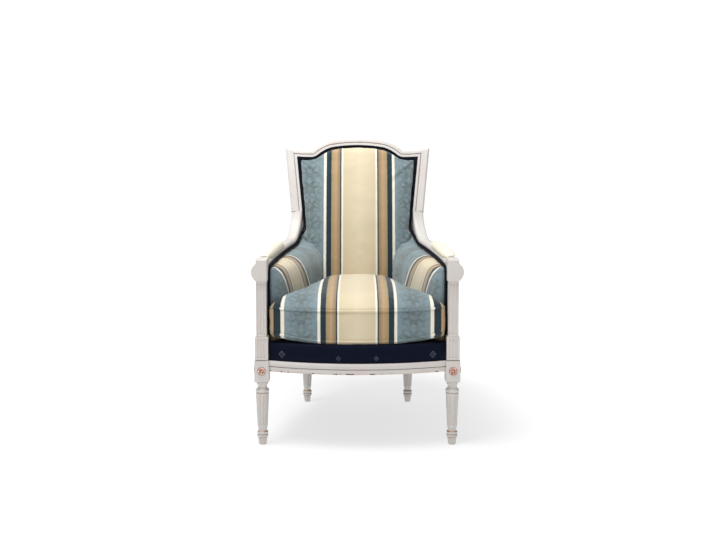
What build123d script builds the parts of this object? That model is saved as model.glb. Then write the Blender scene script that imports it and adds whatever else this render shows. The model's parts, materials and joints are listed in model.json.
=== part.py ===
"""Louis XVI style bergere: a painted beech frame with turned, fluted legs, a hat-shaped back,
closed upholstered arms and a loose box cushion.

Millimetres, +Z up, the chair faces -Y. The origin is on the floor under the middle of the chair's box.
"left" is the -X side and "right" the +X side. Right-hand pieces are modelled and mirrored.
"""

import os
from math import asin, atan2, cos, degrees, radians, sin, sqrt, tan

from build123d import *

# Driving dimensions of the frame
FRONT_LEG_SPREAD = 598.0  # between the front leg axes
REAR_LEG_SPREAD = 372.0  # between the rear leg axes
LEG_DEPTH = 500.0  # from the front leg axes to the rear leg axes
LEG_HEIGHT = 203.0  # turned part, floor to the underside of the block
FOOT_RADIUS = 11.6  # turning, from the floor up
ANKLE_RADIUS = 14.2
RING_LOW = 22.5
RING_MIDDLE = 32.5
RING_HIGH = 43.0
RING_SWELL = 3.3
NECK_HOLLOW = 1.2
NECK_TOP = 52.0
SHAFT_LOW_RADIUS = 15.4
SHAFT_BOTTOM = 57.0
SHAFT_TOP_RADIUS = 20.4
SHAFT_TOP = 163.0
COLLAR_RADIUS = 18.2
COLLAR_LOW = 166.0
COLLAR_HIGH = 178.0
COVE_HOLLOW = 3.8
COVE_TOP = 194.0
FLUTES = 8
FLUTE_RADIUS = 4.6
FLUTE_DEPTH = 2.3
FLUTE_MARGIN = 4.5  # plain wood left at each end of a flute
FRONT_BLOCK = 45.0  # square side of the front leg's block
BLOCK_HEIGHT = 69.0  # carved block at rail level
PLINTH = 41.0  # square side of the plinth above the block
PLINTH_HEIGHT = 74.0
QUIRK = 2.0  # narrow sunk line in the mouldings
REEDS = 3  # upright grooves on the plinth and the post
REED_PITCH = 10.0
REED_RADIUS = 4.0
REED_DEPTH = 1.6
REED_MARGIN = 8.0
ROSETTE = 26.0  # carved flower on the block's outer faces
ROSETTE_SINK = 1.5
ROSETTE_RISE = 4.0
ROSETTE_HEART = 0.3  # shares of the flower's radius and of its rise
PETAL_RISE = 0.9
HEART_VALLEY = 0.5
REAR_BLOCK = 40.0
REAR_LEG_SLIMMER = 1.2  # the rear legs are turned this much thinner, on the radius

# Seat rails
RAIL_BOTTOM = 235.0
RAIL_TOP = 300.0
RAIL_LEDGE = 270.0  # top of the moulding, where the cover fabric ends
RAIL_THICK = 28.0  # above the moulding
MOULDING_PROUD = 8.0  # how far the moulding stands out from the covered part
RAIL_ROUND = 5.0  # lower edge of the moulding
QUIRK_RISE = 0.45  # share of the moulding's height under its quirk
RAIL_SWEEP = 60.0  # degrees that a bowed rail is turned through before it is cut to length
RAIL_SETBACK = 4.0  # the moulding's face lies this far behind the block's face
FRONT_BOW = 50.0  # rise of the front rail's curve in plan
SIDE_BOW = 12.0
TENON_LENGTH = 14.0
TENON_THICK = 12.0
TENON_HEIGHT = 42.0
TENON_RISE = 10.0  # from the rail's underside
TENON_ROOT = 1.0  # how far the tenon's block starts inside its rail
TENON_GAP = 0.15  # glue gap on every side of a tenon

# Back frame, measured in its own raked plane from the top of the seat rails
BACK_RAKE = 13.0  # degrees from the vertical
BACK_HEIGHT = 692.0  # along the rake, seat rail top to the middle of the crest
BACK_TOP_WIDTH = 545.0  # across the ears
EAR_DROP = 37.0  # the ears' tips lie this far under the middle of the crest
CUSP_X = 170.0  # where the arch meets the ear
CUSP_DROP = 46.0
ARCH_HALF = 105.0  # half width of the crest's flat arch
ARCH_DROP = 9.5
SHOULDER_X = 136.0  # the arch's rounded shoulder
SHOULDER_DROP = 22.5
EAR_LIFT = 1.5  # the ear's edge is slightly hollow
STILE_FACE = 41.0  # visible width of a stile
CREST_FACE = 25.0  # visible width of the crest
FRAME_THICK = 34.0  # front to back
REBATE_WIDTH = 12.0  # hidden ledge that the upholstery is tacked to
REBATE_DEPTH = 9.0
MOULD_EDGE = 7.0  # depth of the bevel worked on the frame's outer front edge
EDGE_TAPER = 40.0  # degrees
BEAD_INSET = 9.0  # the groove's distance from the opening
GROOVE_WIDTH = 3.0
GROOVE_DEPTH = 2.5
LOWER_RAIL_RISE = 26.0  # hidden lower back rail above the seat rails
LOWER_RAIL_HEIGHT = 45.0
LOWER_TENON_MARGIN = 7.0
LOWER_TENON_THICK = 8.0

# Arms and their supports
POST_WIDTH = 32.0
POST_DEPTH = 40.0
ARM_UNDERSIDE = 520.0  # underside of the hand knob, on the post
KNOB_TOP = 588.0
KNOB_LENGTH = 72.0
KNOB_FRONT = 5.0  # the knob stands this far in front of the post
KNOB_ROUND = 4.0
KNOB_OVERHANG = 15.0  # the knob swells out past the post on the outside
KNOB_INSIDE = 3.0  # and a little on the inside
KNOB_WIDEST = 0.42  # share of the knob's height where it is widest
KNOB_NECK = 0.82  # share of its height where the swelling starts, under a straight neck
ARM_TOP = 582.0  # top of the arm over the front legs
ARM_WIDTH = 40.0
ARM_DEPTH = 44.0
ARM_ROUND = 14.0  # rounding along the arm's top edges
ARM_LOWER_ROUND = 4.0
ARM_SLOPE = 3.2  # degrees that the arm rises to the back
ARM_BOW = 11.0  # the arm's outward curve in plan
ARM_STATIONS = (0.05, 0.37, 0.68, 1.0)  # sections along the level part, as shares of its length
SWEEP_STEPS = 5
ARM_SWEEP_RADIUS = 122.0  # curve from the level arm up into the stile
LAP_DEPTH = 16.0
LAP_HEIGHT = 136.0  # notch in the stile's face for the arm
LAP_PEG_DROP = 25.0
DOWEL = 10.0
DOWEL_LENGTH = 44.0
PEG = 6.0
PEG_LENGTH = 24.0
MITRE_PEG = 14.0
CORNER_BLOCK = 100.0  # glue blocks in the corners of the seat frame, along each rail
CORNER_MARGIN = 8.0
SCREW = 5.0
SCREW_LENGTH = 47.0
SCREW_BITE = 7.0  # depth of the screw in the leg

# Upholstery
WEB_WIDTH = 50.0
WEB_THICK = 1.5
WEB_PITCH = 60.0
LENGTHWISE_STRAPS = 5
CROSSWISE_STRAPS = 5
CROSS_START = 70.0  # first crosswise strap behind the front legs
CROSS_PITCH = 85.0
TACK_MARGIN = 2.0
BACK_WEB_PITCH = 105.0
BACK_WEB_START = 130.0
BACK_WEB_RISE = 115.0
BACK_WEB_ROWS = 4
NOTCH_GAP = 1.0  # cloth cut back round the posts
HESSIAN_THICK = 1.2
COVER_THICK = 2.0
SOFT_GAP = 0.4  # clearance round every soft solid
DECK_TOP = 325.0  # top of the stuffed platform under the cushion
SEAT_REAR_GAP = 20.0  # from the back frame's face to the rear of the platform
CHEEK_BACK = 8.0  # the seat's cheeks between the posts end here, behind the front legs
WAIST_BACK = 56.0  # and the padded arms are at their fullest from here
ARM_PAD_START = 50.0
ARM_PAD_LENGTH = 285.0
ARM_PAD_RISE = 19.0
ARM_PAD_ROUND = 0.55  # share of the pad's height that is rounded over
ARM_PAD_SHAPE = (0.4, 1.0, 1.0, 1.0, 0.4)  # fullness at even steps along the pad
ARM_STUFFING = 36.0  # fullest thickness of the inside arm
ARM_SHOULDER = 0.55  # share of its height where the inside arm starts to round over
ARM_SECTIONS = 8
INSIDE_START = 4.0  # the inside arm starts this far behind the plinth
FRONT_FULLNESS = 0.3
OUTSIDE_SETBACK = 6.0  # the outside arm meets the arm this far inside its outer edge
DOME_ACROSS = 1450.0  # radii of the inside back's rounded front
DOME_ALONG = 3600.0
BACK_STUFFING = 34.0  # fullest thickness of the inside back, in front of the frame
PIPING = 12.0  # width of the double cord along the frame
POST_PIPING = 7.0  # and of the cord down the posts
PIPING_DROP = 82.0  # the back's cord ends this far under the arm's joint
DUST_COVER_THICK = 1.0

# Loose seat cushion
CUSHION_BOXING = 106.0  # height of its side band
CUSHION_CROWN = 56.0
CUSHION_FRONT = -3.0  # its front edge, from the front rail's face
CUSHION_GAP = 2.0  # clearance to the posts, the inside arms and the back
CUSHION_CORNER = 22.0  # outer corners in plan
CUSHION_WAIST = 40.0  # inner corners in plan
# Crown of the cushion: share of the plan, share of the rise
CROWN_SHAPE = ((1.0, 0.0), (0.94, 0.36), (0.76, 0.75), (0.45, 0.95), (0.1, 1.0))
WELT = 7.0  # diameter of the piped seams
WELT_RISE = 12.0  # lower seam above the cushion's underside

# Derived places
HALF_FRONT = FRONT_LEG_SPREAD / 2
HALF_REAR = REAR_LEG_SPREAD / 2
BLOCK_TOP = LEG_HEIGHT + BLOCK_HEIGHT
PLINTH_TOP = BLOCK_TOP + PLINTH_HEIGHT
RAKE = radians(BACK_RAKE)
FRONT_REACH = FRONT_BLOCK / 2 - RAIL_SETBACK + FRONT_BOW
BACK_FRONT = LEG_DEPTH - FRAME_THICK / 2 / cos(RAKE)  # frame's front face at rail level, from the front legs
REAR_REACH = BACK_FRONT + BACK_HEIGHT * sin(RAKE) + FRAME_THICK * cos(RAKE)
FRONT_LEG_Y = (FRONT_REACH - REAR_REACH) / 2
REAR_LEG_Y = FRONT_LEG_Y + LEG_DEPTH
BACK_PLANE = Plane(
    origin=(0, FRONT_LEG_Y + BACK_FRONT, RAIL_TOP),
    x_dir=(1, 0, 0),
    z_dir=(0, -cos(RAKE), sin(RAKE)),
)


def export(name, shape):
    """One STEP file for one named piece."""
    export_step(shape, f"parts/{name}.step")


def export_pair(name, right_shape):
    """A right-hand piece and its mirror image."""
    export(f"right_{name}", right_shape)
    export(f"left_{name}", mirror(right_shape, about=Plane.YZ))


def block(x0, x1, y0, y1, z0, z1):
    """A box between two corners."""
    return Pos((x0 + x1) / 2, (y0 + y1) / 2, (z0 + z1) / 2) * Box(x1 - x0, y1 - y0, z1 - z0)


class PlanArc:
    """A level circular arc from one plan point to another, bowed to one side by a given rise."""

    def __init__(self, start, end, rise):
        (x0, y0), (x1, y1) = start, end
        chord = sqrt((x1 - x0) ** 2 + (y1 - y0) ** 2)
        self.radius = (chord**2 / 4 + rise**2) / (2 * rise)
        across = ((y1 - y0) / chord, -(x1 - x0) / chord)
        reach = self.radius - rise
        self.centre = ((x0 + x1) / 2 - across[0] * reach, (y0 + y1) / 2 - across[1] * reach)

    def x_at(self, y, offset=0.0):
        """Where a parallel arc, offset outwards, crosses a given y."""
        return self.centre[0] + sqrt((self.radius + offset) ** 2 - (y - self.centre[1]) ** 2)

    def y_at(self, x, offset=0.0):
        """Where a parallel arc that bows to the front crosses a given x."""
        return self.centre[1] - sqrt((self.radius + offset) ** 2 - (x - self.centre[0]) ** 2)

    def heading(self, y):
        """Angle of the tangent from +Y, positive towards +X, in radians."""
        return -atan2(y - self.centre[1], self.x_at(y) - self.centre[0])


# Plan curves: the moulding faces of the rails, and the middle of the arm
FRONT_ARC = PlanArc(
    (-(HALF_FRONT - FRONT_BLOCK / 2), FRONT_LEG_Y - FRONT_BLOCK / 2 + RAIL_SETBACK),
    (HALF_FRONT - FRONT_BLOCK / 2, FRONT_LEG_Y - FRONT_BLOCK / 2 + RAIL_SETBACK),
    FRONT_BOW,
)
SIDE_ARC = PlanArc(
    (HALF_FRONT + FRONT_BLOCK / 2 - RAIL_SETBACK, FRONT_LEG_Y),
    (HALF_REAR + REAR_BLOCK / 2 - RAIL_SETBACK, REAR_LEG_Y),
    SIDE_BOW,
)


# Stile and arm geometry shared by the frame and the upholstery
EAR_RISE = BACK_HEIGHT - EAR_DROP
STILE_FOOT = HALF_REAR + REAR_BLOCK / 2
STILE_SPLAY = (BACK_TOP_WIDTH / 2 - STILE_FOOT) / EAR_RISE


def stile_x(rise, inset=0.0):
    """Half width of the back frame at a height along the rake, less an inset from its outer edge."""
    return STILE_FOOT + STILE_SPLAY * rise - inset


SLOPE = radians(ARM_SLOPE)
ARM_TURN = radians(90) - RAKE - SLOPE
ARM_CORNER_Y = (BACK_FRONT + (ARM_TOP - RAIL_TOP) * tan(RAKE)) / (1 - tan(SLOPE) * tan(RAKE))
ARM_CORNER_Z = ARM_TOP + ARM_CORNER_Y * tan(SLOPE)
ARM_REACH = ARM_SWEEP_RADIUS * tan(ARM_TURN / 2)
SWEEP_START = (ARM_CORNER_Y - ARM_REACH * cos(SLOPE), ARM_CORNER_Z - ARM_REACH * sin(SLOPE))
SWEEP_END = (ARM_CORNER_Y + ARM_REACH * sin(RAKE), ARM_CORNER_Z + ARM_REACH * cos(RAKE))
ARM_JOINT = (SWEEP_END[1] - RAIL_TOP) / cos(RAKE)  # height of the lap's shoulder along the rake
ARM_ARC = PlanArc(
    (HALF_FRONT, FRONT_LEG_Y),
    (stile_x(ARM_JOINT, STILE_FACE / 2), FRONT_LEG_Y + SWEEP_END[0]),
    ARM_BOW,
)


def arm_level(run):
    """Height and pitch of the arm's top at a distance behind the front legs, before and in its sweep."""
    if run <= SWEEP_START[0]:
        return ARM_TOP + run * tan(SLOPE), SLOPE
    pitch = asin(min(sin(SLOPE) + (run - SWEEP_START[0]) / ARM_SWEEP_RADIUS, cos(RAKE)))
    return SWEEP_START[1] + ARM_SWEEP_RADIUS * (cos(SLOPE) - cos(pitch)), pitch


def arm_plane(run, past=0.0):
    """Plane square to the arm: X outwards, Y up from the arm's top, at a distance behind the front legs."""
    height, pitch = arm_level(run)
    y = FRONT_LEG_Y + run
    heading = ARM_ARC.heading(y)
    along = (sin(heading) * cos(pitch), cos(heading) * cos(pitch), sin(pitch))
    place = (ARM_ARC.x_at(y), y, height)
    origin = tuple(p + past * a for p, a in zip(place, along))
    return Plane(origin=origin, x_dir=(cos(heading), -sin(heading), 0), z_dir=tuple(-a for a in along))


def level_stations():
    """Planes along the arm's level part, evenly spaced."""
    return [arm_plane(SWEEP_START[0] * share) for share in ARM_STATIONS]


def sweep_stations():
    """Planes at even turns of the arm's sweep, and one a step past its end."""
    step = ARM_TURN / SWEEP_STEPS
    turns = [sin(SLOPE + step * n) - sin(SLOPE) for n in range(SWEEP_STEPS + 1)]
    planes = [arm_plane(SWEEP_START[0] + ARM_SWEEP_RADIUS * turn) for turn in turns]
    return planes + [arm_plane(SWEEP_END[0], ARM_SWEEP_RADIUS * step)]


def slab(face, low, high):
    """A flat face on the XY plane made into a plate between two levels."""
    return Pos(0, 0, low) * extrude(face, amount=high - low, dir=(0, 0, 1))


def drawn_in(face, height, taper):
    """A flat face on the XY plane raised to a height with its sides leaning in by a taper in degrees."""
    lean = extrude(face.face(), amount=height, taper=taper)
    if lean.center().Z < 0:
        return mirror(lean, about=Plane.XY)
    return lean


def polygon(*points):
    """A straight-sided face on the XY plane."""
    return make_face(Polyline(*points, close=True))


def both_sides(right_shape):
    """A right-hand shape with its mirror image."""
    return [right_shape, mirror(right_shape, about=Plane.YZ)]


def pieces(shapes):
    """Separate solids that share one node."""
    return Compound(children=[solid for shape in shapes for solid in shape.solids()])


def pieces_on_both_sides(right_shapes):
    """Right-hand solids and their mirror images as one node."""
    return pieces([shape for right_shape in right_shapes for shape in both_sides(right_shape)])


def flute(radius, length):
    """Round-ended cutter, upright, centred on its middle."""
    ends = [Pos(0, 0, side * length / 2) * Sphere(radius) for side in (-1, 1)]
    return Cylinder(radius, length) + ends


def bead(base, low, high, swell):
    """A turned half-round ring between two heights."""
    return ThreePointArc((base, low), (base + swell, (low + high) / 2), (base, high))


def turned_leg(slimmer=0.0):
    """Tapered leg on its own axis, with a peg foot, two ring beads, a fluted shaft and a collar."""
    foot, ankle, collar = FOOT_RADIUS - slimmer, ANKLE_RADIUS - slimmer, COLLAR_RADIUS - slimmer
    shaft_low, shaft_top = SHAFT_LOW_RADIUS - slimmer, SHAFT_TOP_RADIUS - slimmer
    with BuildSketch(Plane.XZ) as profile:
        with BuildLine():
            Polyline((0, 0), (foot, 0), (ankle, RING_LOW))
            bead(ankle, RING_LOW, RING_MIDDLE, RING_SWELL)
            bead(ankle, RING_MIDDLE, RING_HIGH, RING_SWELL)
            neck = (ankle - NECK_HOLLOW, (RING_HIGH + NECK_TOP) / 2)
            ThreePointArc((ankle, RING_HIGH), neck, (ankle, NECK_TOP))
            Polyline(
                (ankle, NECK_TOP), (shaft_low, SHAFT_BOTTOM), (shaft_top, SHAFT_TOP), (collar, COLLAR_LOW)
            )
            bead(collar, COLLAR_LOW, COLLAR_HIGH, RING_SWELL)
            cove = (collar - COVE_HOLLOW, (COLLAR_HIGH + COVE_TOP) / 2)
            ThreePointArc((collar, COLLAR_HIGH), cove, (collar, COVE_TOP))
            Polyline((collar, COVE_TOP), (collar, LEG_HEIGHT), (0, LEG_HEIGHT), (0, 0))
        make_face()
    leg = revolve(profile.sketch, axis=Axis.Z)
    lean = atan2(shaft_top - shaft_low, SHAFT_TOP - SHAFT_BOTTOM)
    length = SHAFT_TOP - SHAFT_BOTTOM - 2 * (FLUTE_RADIUS + FLUTE_MARGIN)
    seat = (shaft_low + shaft_top) / 2 + FLUTE_RADIUS - FLUTE_DEPTH
    cutter = Pos(seat, 0, (SHAFT_TOP + SHAFT_BOTTOM) / 2) * Rot(0, degrees(lean), 0)
    cutter = cutter * flute(FLUTE_RADIUS, length)
    return leg - [Rot(0, 0, 360 * (n + 0.5) / FLUTES) * cutter for n in range(FLUTES)]


def reeding(width, depth, low, high):
    """Cutters for the upright grooves on the front and outer faces of a square post on its own axis."""
    length = high - low - 2 * REED_MARGIN
    middle = (low + high) / 2
    cutters = []
    for n in range(REEDS):
        along = (n - (REEDS - 1) / 2) * REED_PITCH
        groove = Cylinder(REED_RADIUS, length)
        cutters.append(Pos(along, -depth / 2 - REED_RADIUS + REED_DEPTH, middle) * groove)
        cutters.append(Pos(width / 2 + REED_RADIUS - REED_DEPTH, along, middle) * groove)
    return cutters


def dowel_hole(z):
    """Upright hole for a dowel centred on a joint, on its own axis."""
    return Pos(0, 0, z) * Cylinder(DOWEL / 2 + TENON_GAP, DOWEL_LENGTH + 2 * TENON_GAP)


def tenon_levels(grow):
    """Lower and upper level of every seat rail's tenon."""
    low = RAIL_BOTTOM + TENON_RISE
    return low - grow, low + TENON_HEIGHT + grow


def front_tenon(grow=0.0):
    """Tenon of the front rail in the right front leg."""
    shoulder = HALF_FRONT - FRONT_BLOCK / 2
    middle = FRONT_ARC.y_at(shoulder, -MOULDING_PROUD - RAIL_THICK / 2)
    half = TENON_THICK / 2 + grow
    root, tip = shoulder - TENON_ROOT, shoulder + TENON_LENGTH + grow
    return block(root, tip, middle - half, middle + half, *tenon_levels(grow))


def side_tenon(shoulder, toward, grow=0.0):
    """Tenon of the right side rail at a shoulder, pointing to the front (-1) or the rear (1)."""
    middle = SIDE_ARC.x_at(shoulder, -MOULDING_PROUD - TENON_THICK / 2 - TENON_ROOT)
    half = TENON_THICK / 2 + grow
    ends = sorted([shoulder - toward * TENON_ROOT, shoulder + toward * (TENON_LENGTH + grow)])
    return block(middle - half, middle + half, *ends, *tenon_levels(grow))


def rear_tenon(grow=0.0):
    """Tenon of the rear rail in the right rear leg."""
    shoulder = HALF_REAR - REAR_BLOCK / 2
    face = REAR_LEG_Y + REAR_BLOCK / 2 - RAIL_SETBACK
    middle = face - MOULDING_PROUD - TENON_THICK / 2 - TENON_GAP
    half = TENON_THICK / 2 + grow
    root, tip = shoulder - TENON_ROOT, shoulder + TENON_LENGTH + grow
    return block(root, tip, middle - half, middle + half, *tenon_levels(grow))


FRONT_SHOULDER = FRONT_LEG_Y + FRONT_BLOCK / 2
REAR_SHOULDER = REAR_LEG_Y - REAR_BLOCK / 2


def rosette_places():
    """Where the carved flowers sit on the right front block: its front and its outer face."""
    level = LEG_HEIGHT + BLOCK_HEIGHT / 2
    front = Pos(HALF_FRONT, FRONT_LEG_Y - FRONT_BLOCK / 2, level) * Rot(90, 0, 0)
    outer = Pos(HALF_FRONT + FRONT_BLOCK / 2, FRONT_LEG_Y, level) * Rot(0, 90, 0)
    return [front, outer]


def rosette():
    """Domed flower with a raised heart, its back at the bottom of its recess."""
    rim = ROSETTE / 2 - TENON_GAP
    heart = rim * ROSETTE_HEART
    valley = (heart, ROSETTE_RISE * HEART_VALLEY)
    petal = ((rim + heart) / 2, ROSETTE_RISE * PETAL_RISE)
    top = (heart, ROSETTE_RISE)
    with BuildSketch(Plane.XZ) as profile:
        with BuildLine():
            Polyline(top, (0, ROSETTE_RISE), (0, -ROSETTE_SINK), (rim, -ROSETTE_SINK), (rim, 0))
            ThreePointArc((rim, 0), petal, valley)
            Line(valley, top)
        make_face()
    return revolve(profile.sketch, axis=Axis.Z)


def front_leg():
    """Turned leg, carved block and reeded plinth in one piece, at the right-hand corner."""
    half, step = FRONT_BLOCK / 2, PLINTH / 2
    plinth = block(-step, step, -step, step, BLOCK_TOP, PLINTH_TOP)
    plinth = chamfer(plinth.faces().sort_by(Axis.Z)[-1].edges(), (PLINTH - POST_WIDTH) / 4)
    leg = turned_leg() + block(-half, half, -half, half, LEG_HEIGHT, BLOCK_TOP - QUIRK)
    leg += block(-step + QUIRK, step - QUIRK, -step + QUIRK, step - QUIRK, BLOCK_TOP - QUIRK, BLOCK_TOP)
    leg += plinth
    leg -= reeding(PLINTH, PLINTH, BLOCK_TOP, PLINTH_TOP)
    leg -= dowel_hole(PLINTH_TOP)
    leg = Pos(HALF_FRONT, FRONT_LEG_Y, 0) * leg
    recess = Cylinder(ROSETTE / 2, 2 * ROSETTE_SINK)
    leg -= [place * recess for place in rosette_places()]
    return leg - front_tenon(TENON_GAP) - side_tenon(FRONT_SHOULDER, -1, TENON_GAP)


def rail_section(face):
    """Profile of a seat rail on the XZ plane, with its moulded face at a given X."""
    inner = face - MOULDING_PROUD - RAIL_THICK
    cover = face - MOULDING_PROUD
    fascia = face - QUIRK
    quirk_low = RAIL_BOTTOM + (RAIL_LEDGE - RAIL_BOTTOM) * QUIRK_RISE
    quirk_high = quirk_low + QUIRK
    with BuildSketch(Plane.XZ) as section:
        with BuildLine():
            Line((inner, RAIL_BOTTOM), (fascia - RAIL_ROUND, RAIL_BOTTOM))
            corner = (fascia - RAIL_ROUND, RAIL_BOTTOM + RAIL_ROUND)
            CenterArc(corner, RAIL_ROUND, -90, 90)
            Polyline(
                (fascia, RAIL_BOTTOM + RAIL_ROUND), (fascia, quirk_low), (fascia - QUIRK, quirk_low),
                (fascia - QUIRK, quirk_high), (fascia, quirk_high),
            )
            crown = (face, (quirk_high + RAIL_LEDGE) / 2)
            ThreePointArc((fascia, quirk_high), crown, (fascia, RAIL_LEDGE))
            Polyline(
                (fascia, RAIL_LEDGE), (cover, RAIL_LEDGE), (cover, RAIL_TOP),
                (inner, RAIL_TOP), (inner, RAIL_BOTTOM),
            )
        make_face()
    return section.sketch


def swept_rail(arc, facing):
    """A rail turned about its plan arc's centre, facing an angle in degrees from +X."""
    ring = revolve(rail_section(arc.radius), axis=Axis.Z, revolution_arc=RAIL_SWEEP)
    middle = ring.center()
    start = degrees(atan2(middle.Y, middle.X))
    return Pos(arc.centre[0], arc.centre[1], 0) * Rot(0, 0, facing - start) * ring


def front_seat_rail():
    """Bow-fronted rail with moulded face, tenoned into the front legs."""
    shoulder = HALF_FRONT - FRONT_BLOCK / 2
    span = block(-shoulder, shoulder, -LEG_DEPTH, FRONT_SHOULDER, RAIL_BOTTOM, RAIL_TOP)
    return (swept_rail(FRONT_ARC, -90) & span) + both_sides(front_tenon())


def side_seat_rail():
    """Gently bowed right rail between the front and rear legs."""
    span = block(0, FRONT_LEG_SPREAD, FRONT_SHOULDER, REAR_SHOULDER, RAIL_BOTTOM, RAIL_TOP)
    rail = swept_rail(SIDE_ARC, 0) & span
    return rail + side_tenon(FRONT_SHOULDER, -1) + side_tenon(REAR_SHOULDER, 1)


def rear_seat_rail():
    """Straight rail between the rear legs, moulded on the outside."""
    shoulder = HALF_REAR - REAR_BLOCK / 2
    face = REAR_LEG_Y + REAR_BLOCK / 2 - RAIL_SETBACK
    bar = extrude(rail_section(0), amount=shoulder, both=True)
    return Pos(0, face, 0) * Rot(0, 0, 90) * bar + both_sides(rear_tenon())


def arm_post():
    """Reeded support of the right arm, doweled to the plinth and the hand knob."""
    half_x, half_y = POST_WIDTH / 2, POST_DEPTH / 2
    post = block(-half_x, half_x, -half_y, half_y, PLINTH_TOP, ARM_UNDERSIDE)
    post -= reeding(POST_WIDTH, POST_DEPTH, PLINTH_TOP, ARM_UNDERSIDE)
    post -= dowel_hole(PLINTH_TOP)
    post -= dowel_hole(ARM_UNDERSIDE)
    return Pos(HALF_FRONT, FRONT_LEG_Y, 0) * post


def arm_section(grow=0.0, rounding=ARM_ROUND):
    """Section of the arm with its top middle at the origin: rounded above, nearly square below."""
    width = ARM_WIDTH + 2 * grow
    depth = ARM_DEPTH + 2 * grow
    outline = Pos(0, grow - depth / 2) * Rectangle(width, depth)
    upper = outline.vertices().sort_by(Axis.Y)[-2:]
    outline = fillet(upper, rounding + grow)
    lower = outline.vertices().sort_by(Axis.Y)[:2]
    return fillet(lower, ARM_LOWER_ROUND)


def hand_knob():
    """Front of the right arm: a straight neck over a knob that swells past the post, with softened edges."""
    inner = -POST_WIDTH / 2 - KNOB_INSIDE
    side = POST_WIDTH / 2
    rise = KNOB_TOP - ARM_UNDERSIDE
    with BuildSketch(Plane.XZ) as profile:
        with BuildLine():
            Polyline((side, 0), (inner, 0), (inner, rise), (side, rise), (side, rise * KNOB_NECK))
            ThreePointArc((side, rise * KNOB_NECK), (side + KNOB_OVERHANG, rise * KNOB_WIDEST), (side, 0))
        make_face()
    knob = extrude(profile.sketch, amount=KNOB_LENGTH, dir=(0, 1, 0))
    front = knob.faces().sort_by(Axis.Y)[0]
    knob = fillet(front.edges().filter_by_position(Axis.Z, 1, rise + 1), KNOB_ROUND)
    return Pos(HALF_FRONT, FRONT_LEG_Y - POST_DEPTH / 2 - KNOB_FRONT, ARM_UNDERSIDE) * knob


def arm_body(grow=0.0):
    """Sweep of the right arm, from the knob up into the face of the stile."""
    level = [plane * arm_section(grow) for plane in level_stations()]
    sweep = []
    for n, plane in enumerate(sweep_stations()):
        share = min(n / SWEEP_STEPS, 1)
        sweep.append(plane * arm_section(grow, ARM_ROUND + (MOULD_EDGE - ARM_ROUND) * share))
    return loft(level) + loft(sweep)


def arm():
    """Right arm with its hand knob and the lap that lies in the stile's notch."""
    reach = 2 * BACK_TOP_WIDTH
    lap = BACK_PLANE * slab(Pos(0, ARM_JOINT - reach / 2) * Rectangle(reach, reach), -LAP_DEPTH, reach)
    solid = (arm_body() & lap) + hand_knob()
    solid -= Pos(HALF_FRONT, FRONT_LEG_Y, 0) * dowel_hole(ARM_UNDERSIDE)
    return solid - lap_dowel(TENON_GAP)


def lap_dowel(grow=0.0):
    """Peg through the right arm's lap into the stile."""
    rise = ARM_JOINT - LAP_PEG_DROP
    peg = Cylinder(PEG / 2 + grow, PEG_LENGTH + 2 * grow)
    return BACK_PLANE * (Pos(stile_x(rise, STILE_FACE / 2), rise, -LAP_DEPTH) * peg)


def back_outline():
    """Front view of the back frame in its raked plane: flat arch, round shoulders, ears, splayed stiles."""
    top = BACK_HEIGHT
    arch = (ARCH_HALF, top - ARCH_DROP)
    cusp = (CUSP_X, top - CUSP_DROP)
    ear = (BACK_TOP_WIDTH / 2, EAR_RISE)
    dip = ((CUSP_X + BACK_TOP_WIDTH / 2) / 2, top - CUSP_DROP + EAR_LIFT)
    below = -FRAME_THICK
    with BuildSketch() as outline:
        with BuildLine():
            right = [
                ThreePointArc(arch, (SHOULDER_X, top - SHOULDER_DROP), cusp),
                ThreePointArc(cusp, dip, ear),
                Line(ear, (stile_x(below), below)),
            ]
            mirror(right, about=Plane.YZ)
            ThreePointArc((-arch[0], arch[1]), (0, top), arch)
            Line((-stile_x(below), below), (stile_x(below), below))
        make_face()
    return outline.sketch


def opening(inset=0.0):
    """The frame's opening in front view, less a further inset. It runs out below, between the stiles."""
    below, above = -2 * FRAME_THICK, BACK_HEIGHT
    edge = STILE_FACE + inset
    stiles = polygon(
        (-stile_x(below, edge), below), (stile_x(below, edge), below),
        (stile_x(above, edge), above), (-stile_x(above, edge), above),
    )
    crest = offset(back_outline(), -CREST_FACE - inset, kind=Kind.ARC)
    crest += polygon(
        (-HALF_REAR, below), (HALF_REAR, below), (HALF_REAR, FRAME_THICK), (-HALF_REAR, FRAME_THICK)
    )
    return crest & stiles


def above(face, rise):
    """The part of a face in the raked plane that lies over a height along the rake."""
    reach = 2 * BACK_HEIGHT
    return face & (Pos(0, rise + reach / 2) * Rectangle(reach, reach))


def below(face, rise):
    """The part of a face in the raked plane that lies under a height along the rake."""
    reach = 2 * BACK_HEIGHT
    return face & (Pos(0, rise - reach / 2) * Rectangle(reach, reach))


def back_ring():
    """The whole back frame before it is divided: rebated front and rear, with a moulded front face."""
    outline = back_outline()
    bevel = Pos(0, 0, -MOULD_EDGE) * drawn_in(outline, MOULD_EDGE, EDGE_TAPER)
    ring = slab(outline, -FRAME_THICK, -MOULD_EDGE) + bevel
    ring += slab(below(outline, ARM_JOINT), -MOULD_EDGE, 0)
    ring -= slab(opening(), -REBATE_DEPTH, 1)
    ring -= slab(opening(REBATE_WIDTH), -FRAME_THICK - 1, 1)
    ring -= slab(opening(), -FRAME_THICK - 1, REBATE_DEPTH - FRAME_THICK)
    groove = opening(-BEAD_INSET - GROOVE_WIDTH) - opening(-BEAD_INSET)
    return ring - slab(groove, -GROOVE_DEPTH, 1)


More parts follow.
